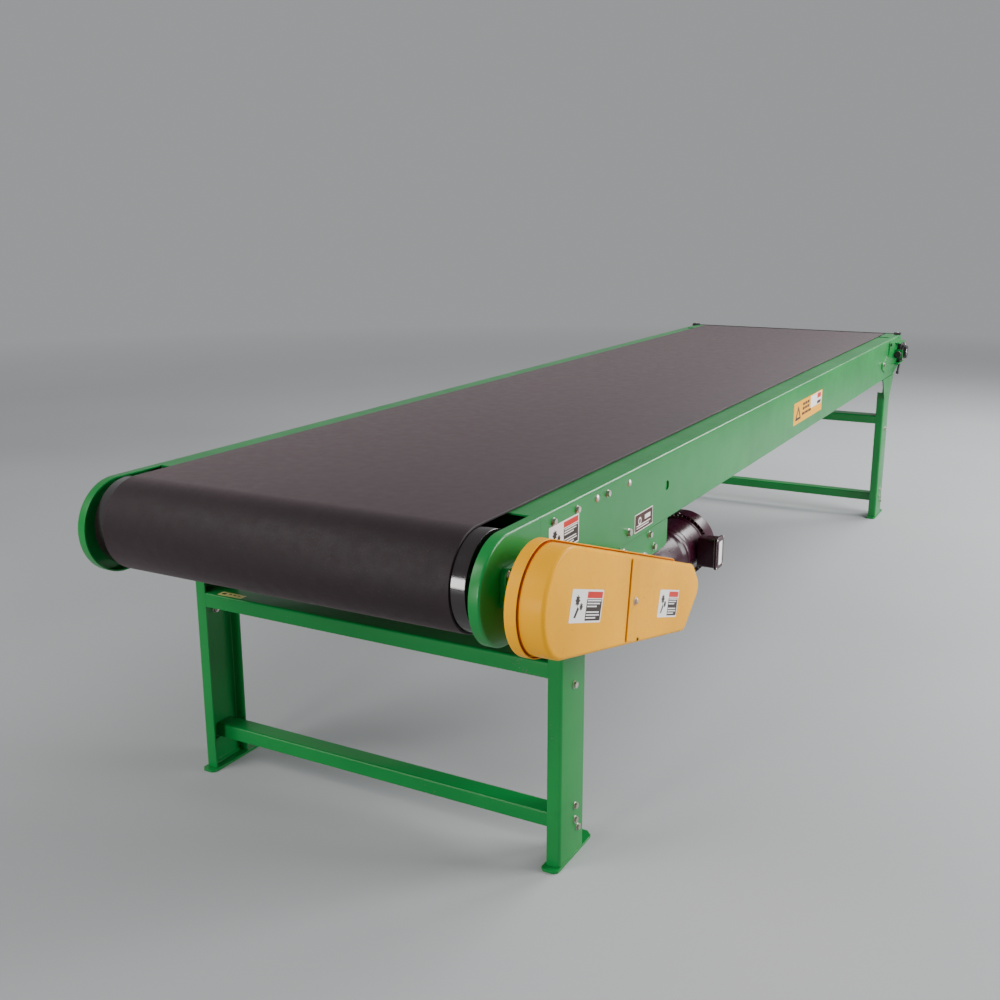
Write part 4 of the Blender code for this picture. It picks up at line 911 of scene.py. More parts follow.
def grease_nipple(place, facing):
    profile = [(0.0, 0.0032), (0.0022, 0.0032), (0.0028, 0.0021), (0.0060, 0.0019), (0.0068, 0.0024),
               (0.0082, 0.0022), (0.0090, 0.0012)]
    return [spun("nipple", profile, place, facing, ZINC, 20)]


def drive_bearing(side_name, side):
    node = "drive_bearing_" + side_name
    place = Vector((0, DRIVE.y, DRIVE.z))
    layers = [(square(place, 0.042, 0.042, 0.016), GAP, 0.013),
              (circle(place.y, place.z, 0.034, 64), 0.005, 0.034),
              (circle(place.y, place.z, 0.027, 56), 0.030, 0.0440)]
    rings("drive_flange_unit_" + side_name, node, layers, 0.0193, place, GREEN, side, "frame", "frame_paint")
    facing = outward(side)
    parts = []
    for a in (-1, 1):
        for b in (-1, 1):
            spot = Vector((web_x(side, -0.0134), place.y + a * 0.0310, place.z + b * 0.0310))
            parts += hex_bolt(spot, facing, 0.0070, nut=False, turn=0.2 + a * 0.3 + b)
    parts += grease_nipple(Vector((web_x(side, -0.020), place.y, place.z + 0.0335)), "+Z")
    fit(merge("drive_flange_bolts_" + side_name, parts), "frame", "zinc_steel")


def tail_unit(side_name, side):
    """Sliding bearing block with its cap, screws and grease nipple."""
    node = "tail_bearing_" + side_name
    place = Vector((0, TAIL.y, TAIL.z))
    base = 0.0051
    layers = [(square(place, 0.043, 0.0455, 0.008), base, base + 0.016),
              (square(place, 0.036, 0.0385, 0.012), base + 0.012, base + 0.024),
              (circle(place.y, place.z, 0.031, 56), base + 0.020, 0.0440)]
    rings("take_up_block_" + side_name, node, layers, 0.0153, place, FLAT_BLACK, side, "take_up",
          "black_paint")
    facing = outward(side)
    parts = []
    for a in (-1, 1):
        for b in (-1, 1):
            spot = Vector((web_x(side, -(base + 0.0242)), place.y + a * 0.0285, place.z + b * 0.0300))
            parts += hex_bolt(spot, facing, 0.0060, material=ZINC if a * b > 0 else FLAT_BLACK,
                              turn=a + 0.4 * b)
    parts += grease_nipple(Vector((web_x(side, -0.034), place.y + 0.0300, place.z)), "+Y")
    fit(merge("take_up_block_screws_" + side_name, parts), "take_up", "black_paint")


def take_up_plate(side_name, side):
    """Slotted outer plate with guide rails and the screw lug."""
    y = FRONT_Y
    outline = rounded([
        (y + 3.866, 0.8530, 0.010), (y + 4.138, 0.8530, 0.012), (y + 4.162, 0.812, 0.012),
        (y + 4.162, 0.738, 0.014), (y + 4.128, 0.7200, 0.016), (y + 3.800, 0.7200, 0.016),
        (y + 3.728, 0.7430, 0.012), (y + 3.728, 0.7740, 0.012), (y + 3.800, 0.7740, 0.030),
        (y + 3.878, 0.7980, 0.030)], 8)
    base = web_x(side, -GAP)
    plate = extrude("take_up_slide_plate_" + side_name, outline, "YZ",
                    *sorted((base, base + side * 0.0045)), GREEN)
    extras = []
    for direction in (-1, 1):
        z = TAIL.z + direction * 0.0490
        xs = sorted((base + side * 0.001, base + side * 0.024))
        extras.append(block("rail", xs, (y + 4.008, y + 4.158), (z - 0.0025, z + 0.0025), GREEN))
    xs = sorted((base + side * 0.001, base + side * 0.042))
    extras.append(block("lug", xs, (y + 4.0000, y + 4.0070), (TAIL.z - 0.0200, TAIL.z + 0.0200), GREEN))
    plate = boolean(plate, extras, "UNION")
    screw_x = base + side * 0.0245
    bore = extrude("bore", circle(screw_x, TAIL.z, 0.0088, 32), "XZ", y + 3.95, y + 4.05, GREEN)
    plate = boolean(plate, [take_up_slot(), bore])
    fit(soften(plate, 0.0006), "frame", "frame_paint", "take_up_plate_" + side_name)
    facing = outward(side)
    parts = []
    face = web_x(side, -0.0049) - MID_X
    parts += hex_bolt(at(face, 3.749, 0.761), facing, 0.0100, turn=0.4)
    parts += hex_bolt(at(face, 3.885, 0.840), facing, 0.0080, FLAT_BLACK, turn=0.2)
    fit(merge("take_up_plate_bolts_" + side_name, parts), "frame", "zinc_steel")


def take_up_screw(side_name):
    """Adjusting screw with a knob and rolled thread; its lock nut stays on the frame's lug."""
    node = "take_up_screw_" + side_name
    low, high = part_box(node)
    place = Vector(((low.x + high.x) / 2, low.y, (low.z + high.z) / 2))
    parts = [hex_head(place, "+Y", 0.0120, 0.0100, FLAT_BLACK, 0.3),
             spun("knob", [(0.0020, 0.0145), (0.0032, 0.0165), (0.0090, 0.0165), (0.0102, 0.0150)], place,
                  "+Y",
                  FLAT_BLACK, 40)]
    length = high.y - low.y
    profile = [(0.009, 0.0078)]
    pitch = 0.0020
    along = 0.0110
    while along < length - 0.004:
        profile += [(along, 0.0078), (along + pitch * 0.5, 0.0066)]
        along += pitch
    profile += [(length - 0.0015, 0.0075), (length, 0.0062)]
    parts.append(spun("thread", profile, place, "+Y", FLAT_BLACK, 28))
    fit(merge("take_up_jack_" + side_name, parts), "take_up", "black_paint", node)
    nut = hex_head(Vector((place.x, FRONT_Y + 3.9905, place.z)), "+Y", 0.0135, 0.0090, ZINC, 0.1)
    nut.name = "take_up_lug_nut_" + side_name
    bore = extrude("bore", circle(place.x, place.z, 0.0084, 28), "XZ", FRONT_Y + 3.97, FRONT_Y + 4.02, ZINC)
    fit(boolean(nut, [bore]), "frame", "zinc_steel")


def tail_details():
    """Black edge strip with ears, and the loose adjusting rod hanging at the guard side."""
    low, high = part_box("tail_nip_strip")
    y0 = END_Y - 0.015
    strip = block("tail_edge_strip", (low.x, high.x), (y0, END_Y), (low.z, low.z + 0.004), FLAT_BLACK)
    ears = []
    for side in (-1, 1):
        outline = rounded([(END_Y - 0.037, low.z, 0), (END_Y, low.z, 0), (END_Y, low.z + 0.010, 0.004),
                           (END_Y - 0.025, low.z + 0.010, 0.003)], 5)
        ears.append(extrude("ear", outline, "YZ", *sorted((web_x(side), web_x(side, 0.030))), FLAT_BLACK))
    strip = boolean(strip, ears, "UNION")
    fit(soften(strip, 0.0006), "frame", "black_paint", "tail_nip_strip")
    strips = []
    for side in (-1, 1):
        xs = sorted((web_x(side, FLANGE + GAP), MID_X + side * (BELT_HIGH.x - MID_X + 0.0035)))
        strips.append(block("strip", xs, (BED_HIGH.y - 0.012, y0 - 0.001), (TOP + 0.0010, TOP + 0.0028),
                            GREEN))
    fit(soften(merge("tail_cover_strips", strips), 0.0004), "frame", "frame_paint")
    screws = []
    for side in (-1, 1):
        screws += carriage_bolt(Vector((web_x(side, 0.015), END_Y - 0.012, low.z + 0.0098)), "+Z", 0.0042)
    fit(merge("tail_edge_screws", screws), "frame", "zinc_steel")
    hanging_rod(at(HALF_WIDTH + 0.012, 4.112, 0.726), at(HALF_WIDTH + 0.012, 4.075, 0.681), 0.0052)


def hanging_rod(top, foot, radius):
    """Loose adjusting rod with a rounded lower end."""
    axis = (foot - top).normalized()
    across = Vector((1, 0, 0))
    length = (foot - top).length
    profile = []
    for along, share in ((0.0, 0.6), (0.001, 1.0), (length - 0.012, 1.0), (length - 0.0115, 1.35),
                         (length - 0.003, 1.35), (length, 0.7)):
        profile.append((along, radius * share))
    rod = revolve("rod", profile, top, (axis, across, axis.cross(across)), FLAT_BLACK, 24, 40)
    fit(merge("tail_adjusting_rod", [rod]), "frame", "black_paint")


def axle(node):
    place = centre(node)
    half = half_width(node)
    radius = reach(node)
    profile = [(-half, radius - 0.001), (-half + 0.001, radius), (half - 0.001, radius),
               (half, radius - 0.001)]
    fit(turned(node + "_bar", profile, place, MACHINED, "X", 36), "frame", "bare_steel", node)


def keyed_shaft(node, body):
    """Ground shaft with chamfered ends and centre drillings."""
    low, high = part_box(node)
    place = Vector((0, (low.y + high.y) / 2, (low.z + high.z) / 2))
    radius = (high.z - low.z) / 2
    dimple = radius * 0.22
    profile = [(low.x + 0.004, 0.0006), (low.x + 0.0008, dimple), (low.x, dimple + 0.0008),
               (low.x, radius - 0.0015),
               (low.x + 0.0015, radius), (high.x - 0.0015, radius), (high.x, radius - 0.0015),
               (high.x, dimple + 0.0008), (high.x - 0.0008, dimple), (high.x - 0.004, 0.0006)]
    fit(turned(node + "_bar", profile, place, MACHINED, "X", 56), body, "bare_steel", node)


# ------------------------------------------------------------------ chain guard

GUARD_TILT = math.radians(16.0)
GUARD_BIG = 0.1105
GUARD_SHEET = 0.002
COVER_LOW, COVER_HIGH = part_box("guard_cover_rear")
PAN_LOW, PAN_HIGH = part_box("guard_back_plate")
BIG_LOW, BIG_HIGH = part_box("guard_cover_front")
GUARD_Y = BIG_LOW.y + GUARD_BIG
GUARD_Z = BIG_HIGH.z - GUARD_BIG
FACE_X = COVER_HIGH.x
LAP = 0.0023
SEAM_START = 0.3060
SEAM_END = 0.3470
SEAM_SLANT = 0.130
LIP_FLANGE = 0.0036


def guard_point(along, across):
    c = math.cos(GUARD_TILT)
    s = math.sin(GUARD_TILT)
    return (GUARD_Y + along * c + across * s, GUARD_Z - along * s + across * c)


def guard_outline(grow):
    """Round at the pulley, tapering to a clipped nose at the reducer."""
    start = math.radians(87.7)
    points = []
    for along, across in arc(0.0, 0.0, GUARD_BIG + grow, start, math.tau - start, 72):
        points.append(guard_point(along, across))
    nose = rounded([
        (0.20, -0.1025 - grow, 0), (0.7045 + grow * 0.6, -0.0823 - grow, 0.026),
        (0.7860 + grow, 0.0300, 0.030), (0.7150 + grow * 0.7, 0.0822 + grow, 0.024),
        (0.20, 0.1025 + grow, 0)], 10)
    for along, across in nose[1:-1]:
        points.append(guard_point(along, across))
    return points


def guard_tray(name, start_x, face_x, grow, corner, flange=0.0):
    """Pressed tray with a rounded edge between its wall and its face."""
    facing = 1 if face_x > start_x else -1
    sheet = GUARD_SHEET
    outer = [(start_x, grow), (face_x - facing * corner, grow)]
    if flange:
        outer = [(start_x, grow + flange), (start_x + 0.0015, grow + flange), (start_x + 0.0022, grow),
                 (face_x - facing * corner, grow)]
    inner = [(start_x - facing * 0.01, grow - sheet), (face_x - facing * corner, grow - sheet)]
    tight = corner - sheet
    for k in range(1, 8):
        angle = math.radians(90 * k / 7)
        along = face_x - facing * corner
        outer.append((along + facing * corner * math.sin(angle), grow - corner * (1 - math.cos(angle))))
        inner.append((along + facing * tight * math.sin(angle), grow - sheet - tight * (1 - math.cos(angle))))
    shells = []
    for profile in (outer, inner):
        loops = []
        for x, offset in profile:
            loops.append([(x, a, b) for a, b in guard_outline(offset)])
        shells.append(loft(name, loops, YELLOW, 40))
    return boolean(shells[0], [shells[1]])


def past_seam(along, direction):
    """Block over all of the guard on one side of a slanted seam line."""
    reach_out = 0.30
    far = along + direction * 2.0
    line = ((along - SEAM_SLANT * reach_out, reach_out), (along + SEAM_SLANT * reach_out, -reach_out))
    corners = [guard_point(a, b) for a, b in line + ((far, -reach_out), (far, reach_out))]
    return extrude("trim", corners, "YZ", 0.3, 0.9, YELLOW)


def groove_block(along, low, high, material):
    """Slanted bar beside the band, a little shorter than the face."""
    half = GUARD_BIG * 0.80
    corners = []
    for a, b in ((along, -half), (along + 0.0055, -half), (along + 0.0055, half), (along, half)):
        corners.append(guard_point(a - SEAM_SLANT * b, b))
    return extrude("groove", corners, "YZ", low, high, material)


def seam_groove(along):
    return groove_block(along, FACE_X - 0.0015, FACE_X + 0.01, YELLOW)


def painted_groove_shade():
    """Painted shade: dark orange strips at the bottom of the two seam grooves, and a dark orange band round
    the cover's wall behind the lip, where the lip's shadow falls.
    """
    strips = []
    # Painted shade: thin dark orange strips at the bottom of both seam grooves.
    for along in (SEAM_START - 0.0055, SEAM_END):
        strips.append(groove_block(along, FACE_X - 0.0016, FACE_X - 0.0010, SHADE_ORANGE))
    # Painted shadow: dark orange band round the cover's wall where the lip shades it.
    lip_shadow = extrude("lip_shadow_band", guard_outline(0.0006), "YZ", COVER_LOW.x + 0.0016, PAN_HIGH.x + 0.0030,
                   SHADE_ORANGE)
    core = extrude("core", guard_outline(-0.0002), "YZ", COVER_LOW.x - 0.01, PAN_HIGH.x + 0.01, SHADE_ORANGE)
    strips.append(boolean(lip_shadow, [core]))
    fit(merge("guard_painted_groove_shade", strips), "frame", "guard_paint")


def guard():
    """Back pan, two covers with out-turned feet, and the raised slanted band over their joint."""
    wall_x = COVER_LOW.x
    pan = guard_tray("guard_back_pan", PAN_HIGH.x, PAN_LOW.x, 0.0060, 0.0055)
    bores = []
    for place, radius in ((DRIVE, 0.032), (centre("drive_sprocket"), 0.026)):
        bores.append(extrude("bore", circle(place.y, place.z, radius, 48), "YZ", 0.4, 0.8, YELLOW))
    fit(soften(boolean(pan, bores), 0.0004), "frame", "guard_paint", "guard_back_plate")
    front = guard_tray("guard_front_cover", wall_x, FACE_X, 0.0, 0.0090, LIP_FLANGE)
    front = boolean(front, [past_seam(SEAM_START + 0.0020, 1), seam_groove(SEAM_START - 0.0055)])
    fit(soften(front, 0.0004), "frame", "guard_paint", "guard_cover_front")
    rear = guard_tray("guard_rear_cover", wall_x, FACE_X, 0.0, 0.0090, LIP_FLANGE)
    rear = boolean(rear, [past_seam(SEAM_START + 0.0026, -1), seam_groove(SEAM_END)])
    fit(soften(rear, 0.0004), "frame", "guard_paint", "guard_cover_rear")
    band = extrude("guard_seam_band", guard_outline(-0.0085), "YZ", FACE_X - 0.0008, FACE_X + LAP, YELLOW)
    band = boolean(band, [past_seam(SEAM_START, -1), past_seam(SEAM_END, 1)])
    fit(soften(band, 0.0009, 3), "frame", "guard_paint")
    # Painted shade in the seam grooves and behind the lip.
    painted_groove_shade()
    guard_screws()


def slotted_screw(place, facing, radius, height, material):
    """Pan-head screw with a cut slot."""
    out, across, lift = AXES[facing]
    profile = [(0.0, radius), (height * 0.45, radius), (height * 0.85, radius * 0.78),
               (height, radius * 0.45)]
    head = spun("screw", profile, place, facing, material, 36, 50)
    corners = []
    for a, b in CORNERS:
        turn = across * (a * radius * 1.2) + lift * (b * radius * 0.12)
        corners.append(turn)
    loops = []
    for along in (height * 0.55, height * 1.3):
        loops.append([Vector(place) + out * along + corner for corner in corners])
    return boolean(head, [loft("slot", loops, material)])


def guard_screws():
    """Latch screw through the lap and the small screw at its foot."""
    spot = centre("guard_latch_screw")
    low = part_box("guard_latch_screw")[0].x
    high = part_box("guard_latch_screw")[1].x
    seat = Vector((low, spot.y, spot.z))
    cup = spun("cup", [(0.0, 0.0092), (0.0009, 0.0092), (0.0013, 0.0080)], seat, "+X", ZINC, 40)
    head = slotted_screw(seat + Vector((0.0013, 0, 0)), "+X", 0.0064, high - low - 0.0014, ZINC)
    fit(merge("guard_latch", [cup, head]), "frame", "zinc_steel", "guard_latch_screw")
    foot_place = Vector((FACE_X, FRONT_Y + 0.4670, 0.5510))
    small = slotted_screw(foot_place, "+X", 0.0042, 0.0024, FLAT_BLACK)
    fit(merge("guard_foot_screw", [small]), "frame", "black_paint")


# ------------------------------------------------------------------ labels

def film_rect(plane, us, vs, heights, material, corner=0.0008):
    """Thin rounded plate in a label's own plane."""
    outline = rounded([(us[0], vs[0], corner), (us[1], vs[0], corner), (us[1], vs[1], corner),
                       (us[0], vs[1], corner)], 3)
    return film_shape(plane, outline, heights, material)


def film_shape(plane, outline, heights, material):
    origin, across, up, out = plane
    loops = []
    for height in heights:
        loops.append([origin + across * a + up * b + out * height for a, b in outline])
    return loft("film", loops, material, 30)


FILM = (0.0, 0.00022)
INK = (0.00018, 0.00034)
FINE = (0.00026, 0.00042)


def cog(cx, cy, radius, teeth=8):
    points = []
    for k in range(teeth):
        for share, reach in ((-0.30, 0.74), (-0.18, 1.0), (0.18, 1.0), (0.30, 0.74)):
            angle = math.tau * (k + share) / teeth
            points.append((cx + radius * reach * math.cos(angle), cy + radius * reach * math.sin(angle)))
    return points


def caution_label(name, plane, width, height):
    """White ground, pictogram of two cogs and a bar, red heading over a dark text block."""
    w = width / 2
    h = height / 2
    edge = height * 0.06
    parts = [film_rect(plane, (-w, w), (-h, h), FILM, WHITE_FILM, 0.002)]
    split = -w * 0.04
    head = h - edge - height * 0.20
    parts.append(film_rect(plane, (split, w - edge), (head, h - edge), INK, RED_FILM))
    parts.append(film_rect(plane, (split, w - edge), (-h + edge, head - edge * 0.5), INK, BLACK_FILM))
    rows = 7
    depth = (head - edge * 0.5) - (-h + edge)
    for k in range(rows):
        v = -h + edge + depth * (k + 0.75) / (rows + 0.5)
        stop = w - edge * 2 - (width * 0.13 if k in (0, 4) else width * 0.02 * (k % 3))
        if k == 3:
            continue
        parts.append(film_rect(plane, (split + edge, stop), (v, v + depth * 0.062), FINE, WHITE_FILM, 0.0002))
    mid = (-w + split) / 2
    parts.append(film_shape(plane, cog(mid - width * 0.05, height * 0.16, height * 0.17), INK, BLACK_FILM))
    parts.append(film_shape(plane, cog(mid + width * 0.08, -height * 0.02, height * 0.12), INK, BLACK_FILM))
    arm = [(mid - width * 0.12, -height * 0.34), (mid - width * 0.06, -height * 0.36),
           (mid + width * 0.02, -height * 0.08), (mid - width * 0.03, -height * 0.02)]
    parts.append(film_shape(plane, arm, INK, BLACK_FILM))
    return fit(merge(name, parts), "frame", "guard_paint")


def maker_plate(name, plane, width, height):
    """Dark brown plate with a pale rim, a round badge and plain lines."""
    w = width / 2
    h = height / 2
    parts = [film_rect(plane, (-w, w), (-h, h), FILM, WHITE_FILM, 0.0015)]
    rim = 0.0022
    parts.append(film_rect(plane, (-w + rim, w - rim), (-h + rim, h - rim), INK, BROWN_FILM, 0.001))
    badge = [(a - w * 0.45, b + h * 0.12) for a, b in circle(0.0, 0.0, h * 0.42, 28)]
    parts.append(film_shape(plane, badge, FINE, WHITE_FILM))
    hole = [(a - w * 0.45, b + h * 0.12) for a, b in circle(0.0, 0.0, h * 0.26, 24)]
    parts.append(film_shape(plane, hole, (0.00034, 0.0005), BROWN_FILM))
    parts.append(film_rect(plane, (w * 0.10, w * 0.72), (0.0, h * 0.48), FINE, WHITE_FILM))
    for k in range(2):
        v = -h * (0.40 + 0.26 * k)
        parts.append(film_rect(plane, (-w * 0.8, w * (0.75 - 0.2 * k)), (v, v + h * 0.11), FINE, WHITE_FILM,
                               0.0002))
    return fit(merge(name, parts), "frame", "frame_paint")


def notice_triangle(plane, cx, half, rise):
    """Black triangle with a yellow field inside it."""
    tri = rounded([(cx - half, -rise, 0.004), (cx + half, -rise, 0.004), (cx, rise, 0.004)], 4)
    small = [(cx + (a - cx) * 0.5, (b + rise * 0.3) * 0.5 - rise * 0.3) for a, b in tri]
    return [film_shape(plane, tri, INK, BLACK_FILM),
            film_shape(plane, small, FINE, YELLOW_FILM)]


def side_notice(name, plane, width, height):
    """Yellow ground with a triangle, short dark lines, and a white corner block with two marks."""
    w = width / 2
    h = height / 2
    parts = [film_rect(plane, (-w, w), (-h, h), FILM, YELLOW_FILM, 0.002)]
    parts += notice_triangle(plane, -w * 0.70, w * 0.20, h * 0.66)
    for low, high, start, stop in ((0.42, 0.68, -0.40, 0.08), (0.02, 0.28, -0.40, 0.08),
                                   (-0.44, -0.20, -0.44, 0.22)):
        for k in range(3):
            left = w * (start + (stop - start) * k / 3)
            right = left + w * (stop - start) / 3 - w * 0.03
            parts.append(film_rect(plane, (left, right), (h * low, h * high), INK, BROWN_FILM, 0.001))
    parts.append(film_rect(plane, (w * 0.16, w * 0.94), (-h * 0.24, h * 0.90), INK, WHITE_FILM))
    parts.append(film_rect(plane, (w * 0.62, w * 0.90), (h * 0.36, h * 0.84), FINE, RED_FILM, 0.003))
    parts.append(film_rect(plane, (w * 0.62, w * 0.90), (-h * 0.18, h * 0.12), FINE, BROWN_FILM, 0.003))
    return fit(merge(name, parts), "frame", "frame_paint")


def beam_notice(name, plane, width, height):
    """Pale ground with a small mark and three short lines."""
    w = width / 2
    h = height / 2
    parts = [film_rect(plane, (-w, w), (-h, h), FILM, PALE_FILM, 0.002)]
    parts.append(film_rect(plane, (-w * 0.80, -w * 0.50), (-h * 0.40, h * 0.40), INK, BLACK_FILM))
    for k in range(3):
        left = -w * 0.30 + w * 0.36 * k
        parts.append(film_rect(plane, (left, left + w * 0.22), (h * 0.10, h * 0.45), INK, BLACK_FILM, 0.001))
    return fit(merge(name, parts), "frame", "frame_paint")


def side_plane(x, y, z, tilt=0.0):
    """Label plane on the guard side: reading along +Y, tilted down by an angle."""
    across = Vector((0, math.cos(tilt), -math.sin(tilt)))
    up = Vector((0, math.sin(tilt), math.cos(tilt)))
    return (Vector((x, y, z)), across, up, Vector((1, 0, 0)))


def labels():
    for index, (along, across, width, height) in enumerate(((0.082, -0.0066, 0.155, 0.066),
                                                            (0.560, -0.0110, 0.131, 0.064))):
        y, z = guard_point(along, across)
        caution_label("guard_label_%d" % (index + 1), side_plane(FACE_X, y, z, GUARD_TILT + 0.02), width,
                      height)
    web = web_x(1)
    caution_label("web_label", side_plane(web, FRONT_Y + 0.362, 0.7965), 0.146, 0.064)
    maker_plate("maker_plate", side_plane(web, FRONT_Y + 0.8155, 0.722), 0.117, 0.046)
    side_notice("side_notice", side_plane(web, FRONT_Y + 2.400, 0.766), 0.400, 0.078)
    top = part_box("upper_beam_near")
    spot = Vector((MID_X - 0.420, top[0].y + 0.018, top[1].z))
    beam_notice("beam_notice", (spot, Vector((1, 0, 0)), Vector((0, 1, 0)), Vector((0, 0, 1))), 0.078, 0.024)


# ------------------------------------------------------------------ reducer and motor

MOTOR = centre("motor_body")
MOTOR_RADIUS = reach("motor_body")
MOTOR_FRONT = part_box("motor_body")[0].y


def spoke_at(angle):
    """Direction across the motor's axis."""
    return Vector((math.cos(angle), 0, math.sin(angle)))


def motor_turned(name, profile, material, segments=96, hollow=False):
    """Revolve (y off the motor's front face, radius) pairs about the motor's axis."""
    place = Vector((MOTOR.x, MOTOR_FRONT, MOTOR.z))
    return turned(name, profile, place, material, "Y", segments, hollow)


def motor():
    """Rolled steel body between two end bells, with a steel nameplate."""
    low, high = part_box("motor_body")
    length = high.y - low.y - 0.012
    r = MOTOR_RADIUS
    profile = [(0.0, r - 0.004), (0.0012, r - 0.0012), (0.0040, r), (0.0270, r), (0.0284, r - 0.0004),
               (0.0292, r - 0.0026), (0.0312, r - 0.0026), (0.0320, r - 0.0016),
               (length - 0.0320, r - 0.0016),
               (length - 0.0312, r - 0.0026), (length - 0.0292, r - 0.0026), (length - 0.0284, r - 0.0004),
               (length - 0.0270, r), (length - 0.0040, r), (length - 0.0012, r - 0.0012), (length, r - 0.004),
               (length + 0.001, 0.0300), (length + 0.0105, 0.0290), (length + 0.012, 0.0275)]
    fit(motor_turned("motor_shell", profile, MAROON), "frame", "drive_paint", "motor_body")
    angle = math.radians(140)
    out = spoke_at(angle)
    spot = Vector((MOTOR.x, low.y + 0.038, MOTOR.z)) + out * (r - 0.0012)
    plane = (spot, Vector((0, 1, 0)), Vector((-math.sin(angle), 0, math.cos(angle))), out)
    plate = film_rect(plane, (0.0, 0.075), (-0.014, 0.014), (-0.0006, 0.0006), MACHINED, 0.002)
    fit(merge("motor_plate", [plate]), "frame", "bare_steel")


def adapter():
    """Cone from the reducer's input flange to the motor's face."""
    low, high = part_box("motor_adapter")
    start = low.y - MOTOR_FRONT
    end = high.y - MOTOR_FRONT
    r = MOTOR_RADIUS
    profile = [(start, 0.0588), (start + 0.0012, 0.060), (start + 0.0106, 0.060), (start + 0.012, 0.0588),
               (start + 0.0126, 0.0530), (start + 0.0150, 0.0505), (start + 0.0300, 0.0500)]
    for k in range(1, 12):
        share = k / 12
        profile.append((start + 0.0300 + (end - 0.0205 - start - 0.0300) * share,
                        0.0500 + (r - 0.0535) * (1.60 * share - 0.60 * share * share)))
    profile += [(end - 0.0205, r - 0.0035), (end - 0.0165, r - 0.0008), (end - 0.0140, r), (end - 0.0010, r),
                (end, r - 0.0010)]
    fit(motor_turned("motor_cone", profile, MAROON), "frame", "drive_paint", "motor_adapter")


def fan_cover():
    """Cup over the fan, with a ring of vent slots in its end and three screws round its skirt."""
    low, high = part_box("motor_fan_cover")
    radius = (high.z - low.z) / 2
    start = low.y - MOTOR_FRONT
    end = high.y - MOTOR_FRONT
    wall = 0.0020
    outer = [(start, radius)]
    inner = []
    bend = 0.011
    for k in range(9):
        angle = math.radians(90 * k / 8)
        outer.append((end - bend * (1 - math.sin(angle)), radius - bend * (1 - math.cos(angle))))
        tight = bend - wall
        inner.append((end - bend + tight * math.sin(angle), radius - bend + tight * math.cos(angle)))
    profile = outer + [(end, 0.012), (end - wall, 0.012)] + list(reversed(inner)) + [(start, radius - wall)]
    cover = motor_turned("fan_shroud", profile, MAROON, 128, True)
    cutters = []
    place = Vector((MOTOR.x, 0, MOTOR.z))
    for count, r0, r1, half in ((36, 0.0640, 0.0815, 0.0026), (18, 0.0380, 0.0560, 0.0030)):
        for angle in angles(count, 0.5):
            slot = []
            for a, b in rounded([(r0, -half, half * 0.9), (r1, -half * 1.25, half), (r1, half * 1.25, half),
                                 (r0, half, half * 0.9)], 3):
                slot.append((place.x + a * math.cos(angle) - b * math.sin(angle),
                             place.z + a * math.sin(angle) + b * math.cos(angle)))
            cutters.append(extrude("slot", slot, "XZ", high.y - 0.006, high.y + 0.01, MAROON))
    cover = boolean(cover, [merge("slots", cutters)])
    fit(soften(cover, 0.0005), "frame", "drive_paint", "motor_fan_cover")
    vent_ring(low.y, radius)
    parts = []
    for k in range(3):
        angle = math.tau * k / 3 + math.pi / 2
        spot = Vector((MOTOR.x, low.y + 0.007, MOTOR.z)) + spoke_at(angle) * (radius - 0.0010)
        parts.append(screw_on_skirt(spot, angle))
    fit(merge("fan_shroud_screws", parts), "frame", "zinc_steel")


def vent_ring(front_y, radius):
    """Ring across the mouth of the cover, with a fin beside each small air inlet."""
    start = front_y - MOTOR_FRONT
    profile = [(start, MOTOR_RADIUS + 0.0006), (start, radius - 0.0004), (start + 0.0016, radius - 0.0004),
               (start + 0.0016, MOTOR_RADIUS + 0.0006)]
    fit(motor_turned("vent_ring", profile, MAROON, 96, True), "frame", "drive_paint")
    fins = []
    for angle in angles(44):
        out = spoke_at(angle)
        across = Vector((-math.sin(angle), 0, math.cos(angle)))
        foot = Vector((MOTOR.x, front_y + 0.0004, MOTOR.z))
        loops = []
        for depth, half in ((0.0, 0.0014), (-0.0022, 0.0012), (-0.0028, 0.0006)):
            loop = []
            for a, b in ((MOTOR_RADIUS + 0.0014, -half), (radius - 0.0014, -half), (radius - 0.0014, half),
                         (MOTOR_RADIUS + 0.0014, half)):
                loop.append(foot + out * a + across * b + Vector((0, depth, 0)))
            loops.append(loop)
        fins.append(loft("fin", loops, ZINC, 30))
    fit(merge("vent_fins", fins), "frame", "zinc_steel")


def screw_on_skirt(spot, angle):
    out = spoke_at(angle)
    across = Vector((0, 1, 0))
    profile = [(-0.001, 0.0038), (0.0014, 0.0038), (0.0024, 0.0030), (0.0027, 0.0016)]
    return revolve("screw", profile, spot, (out, across, out.cross(across)), ZINC, 20, 40)


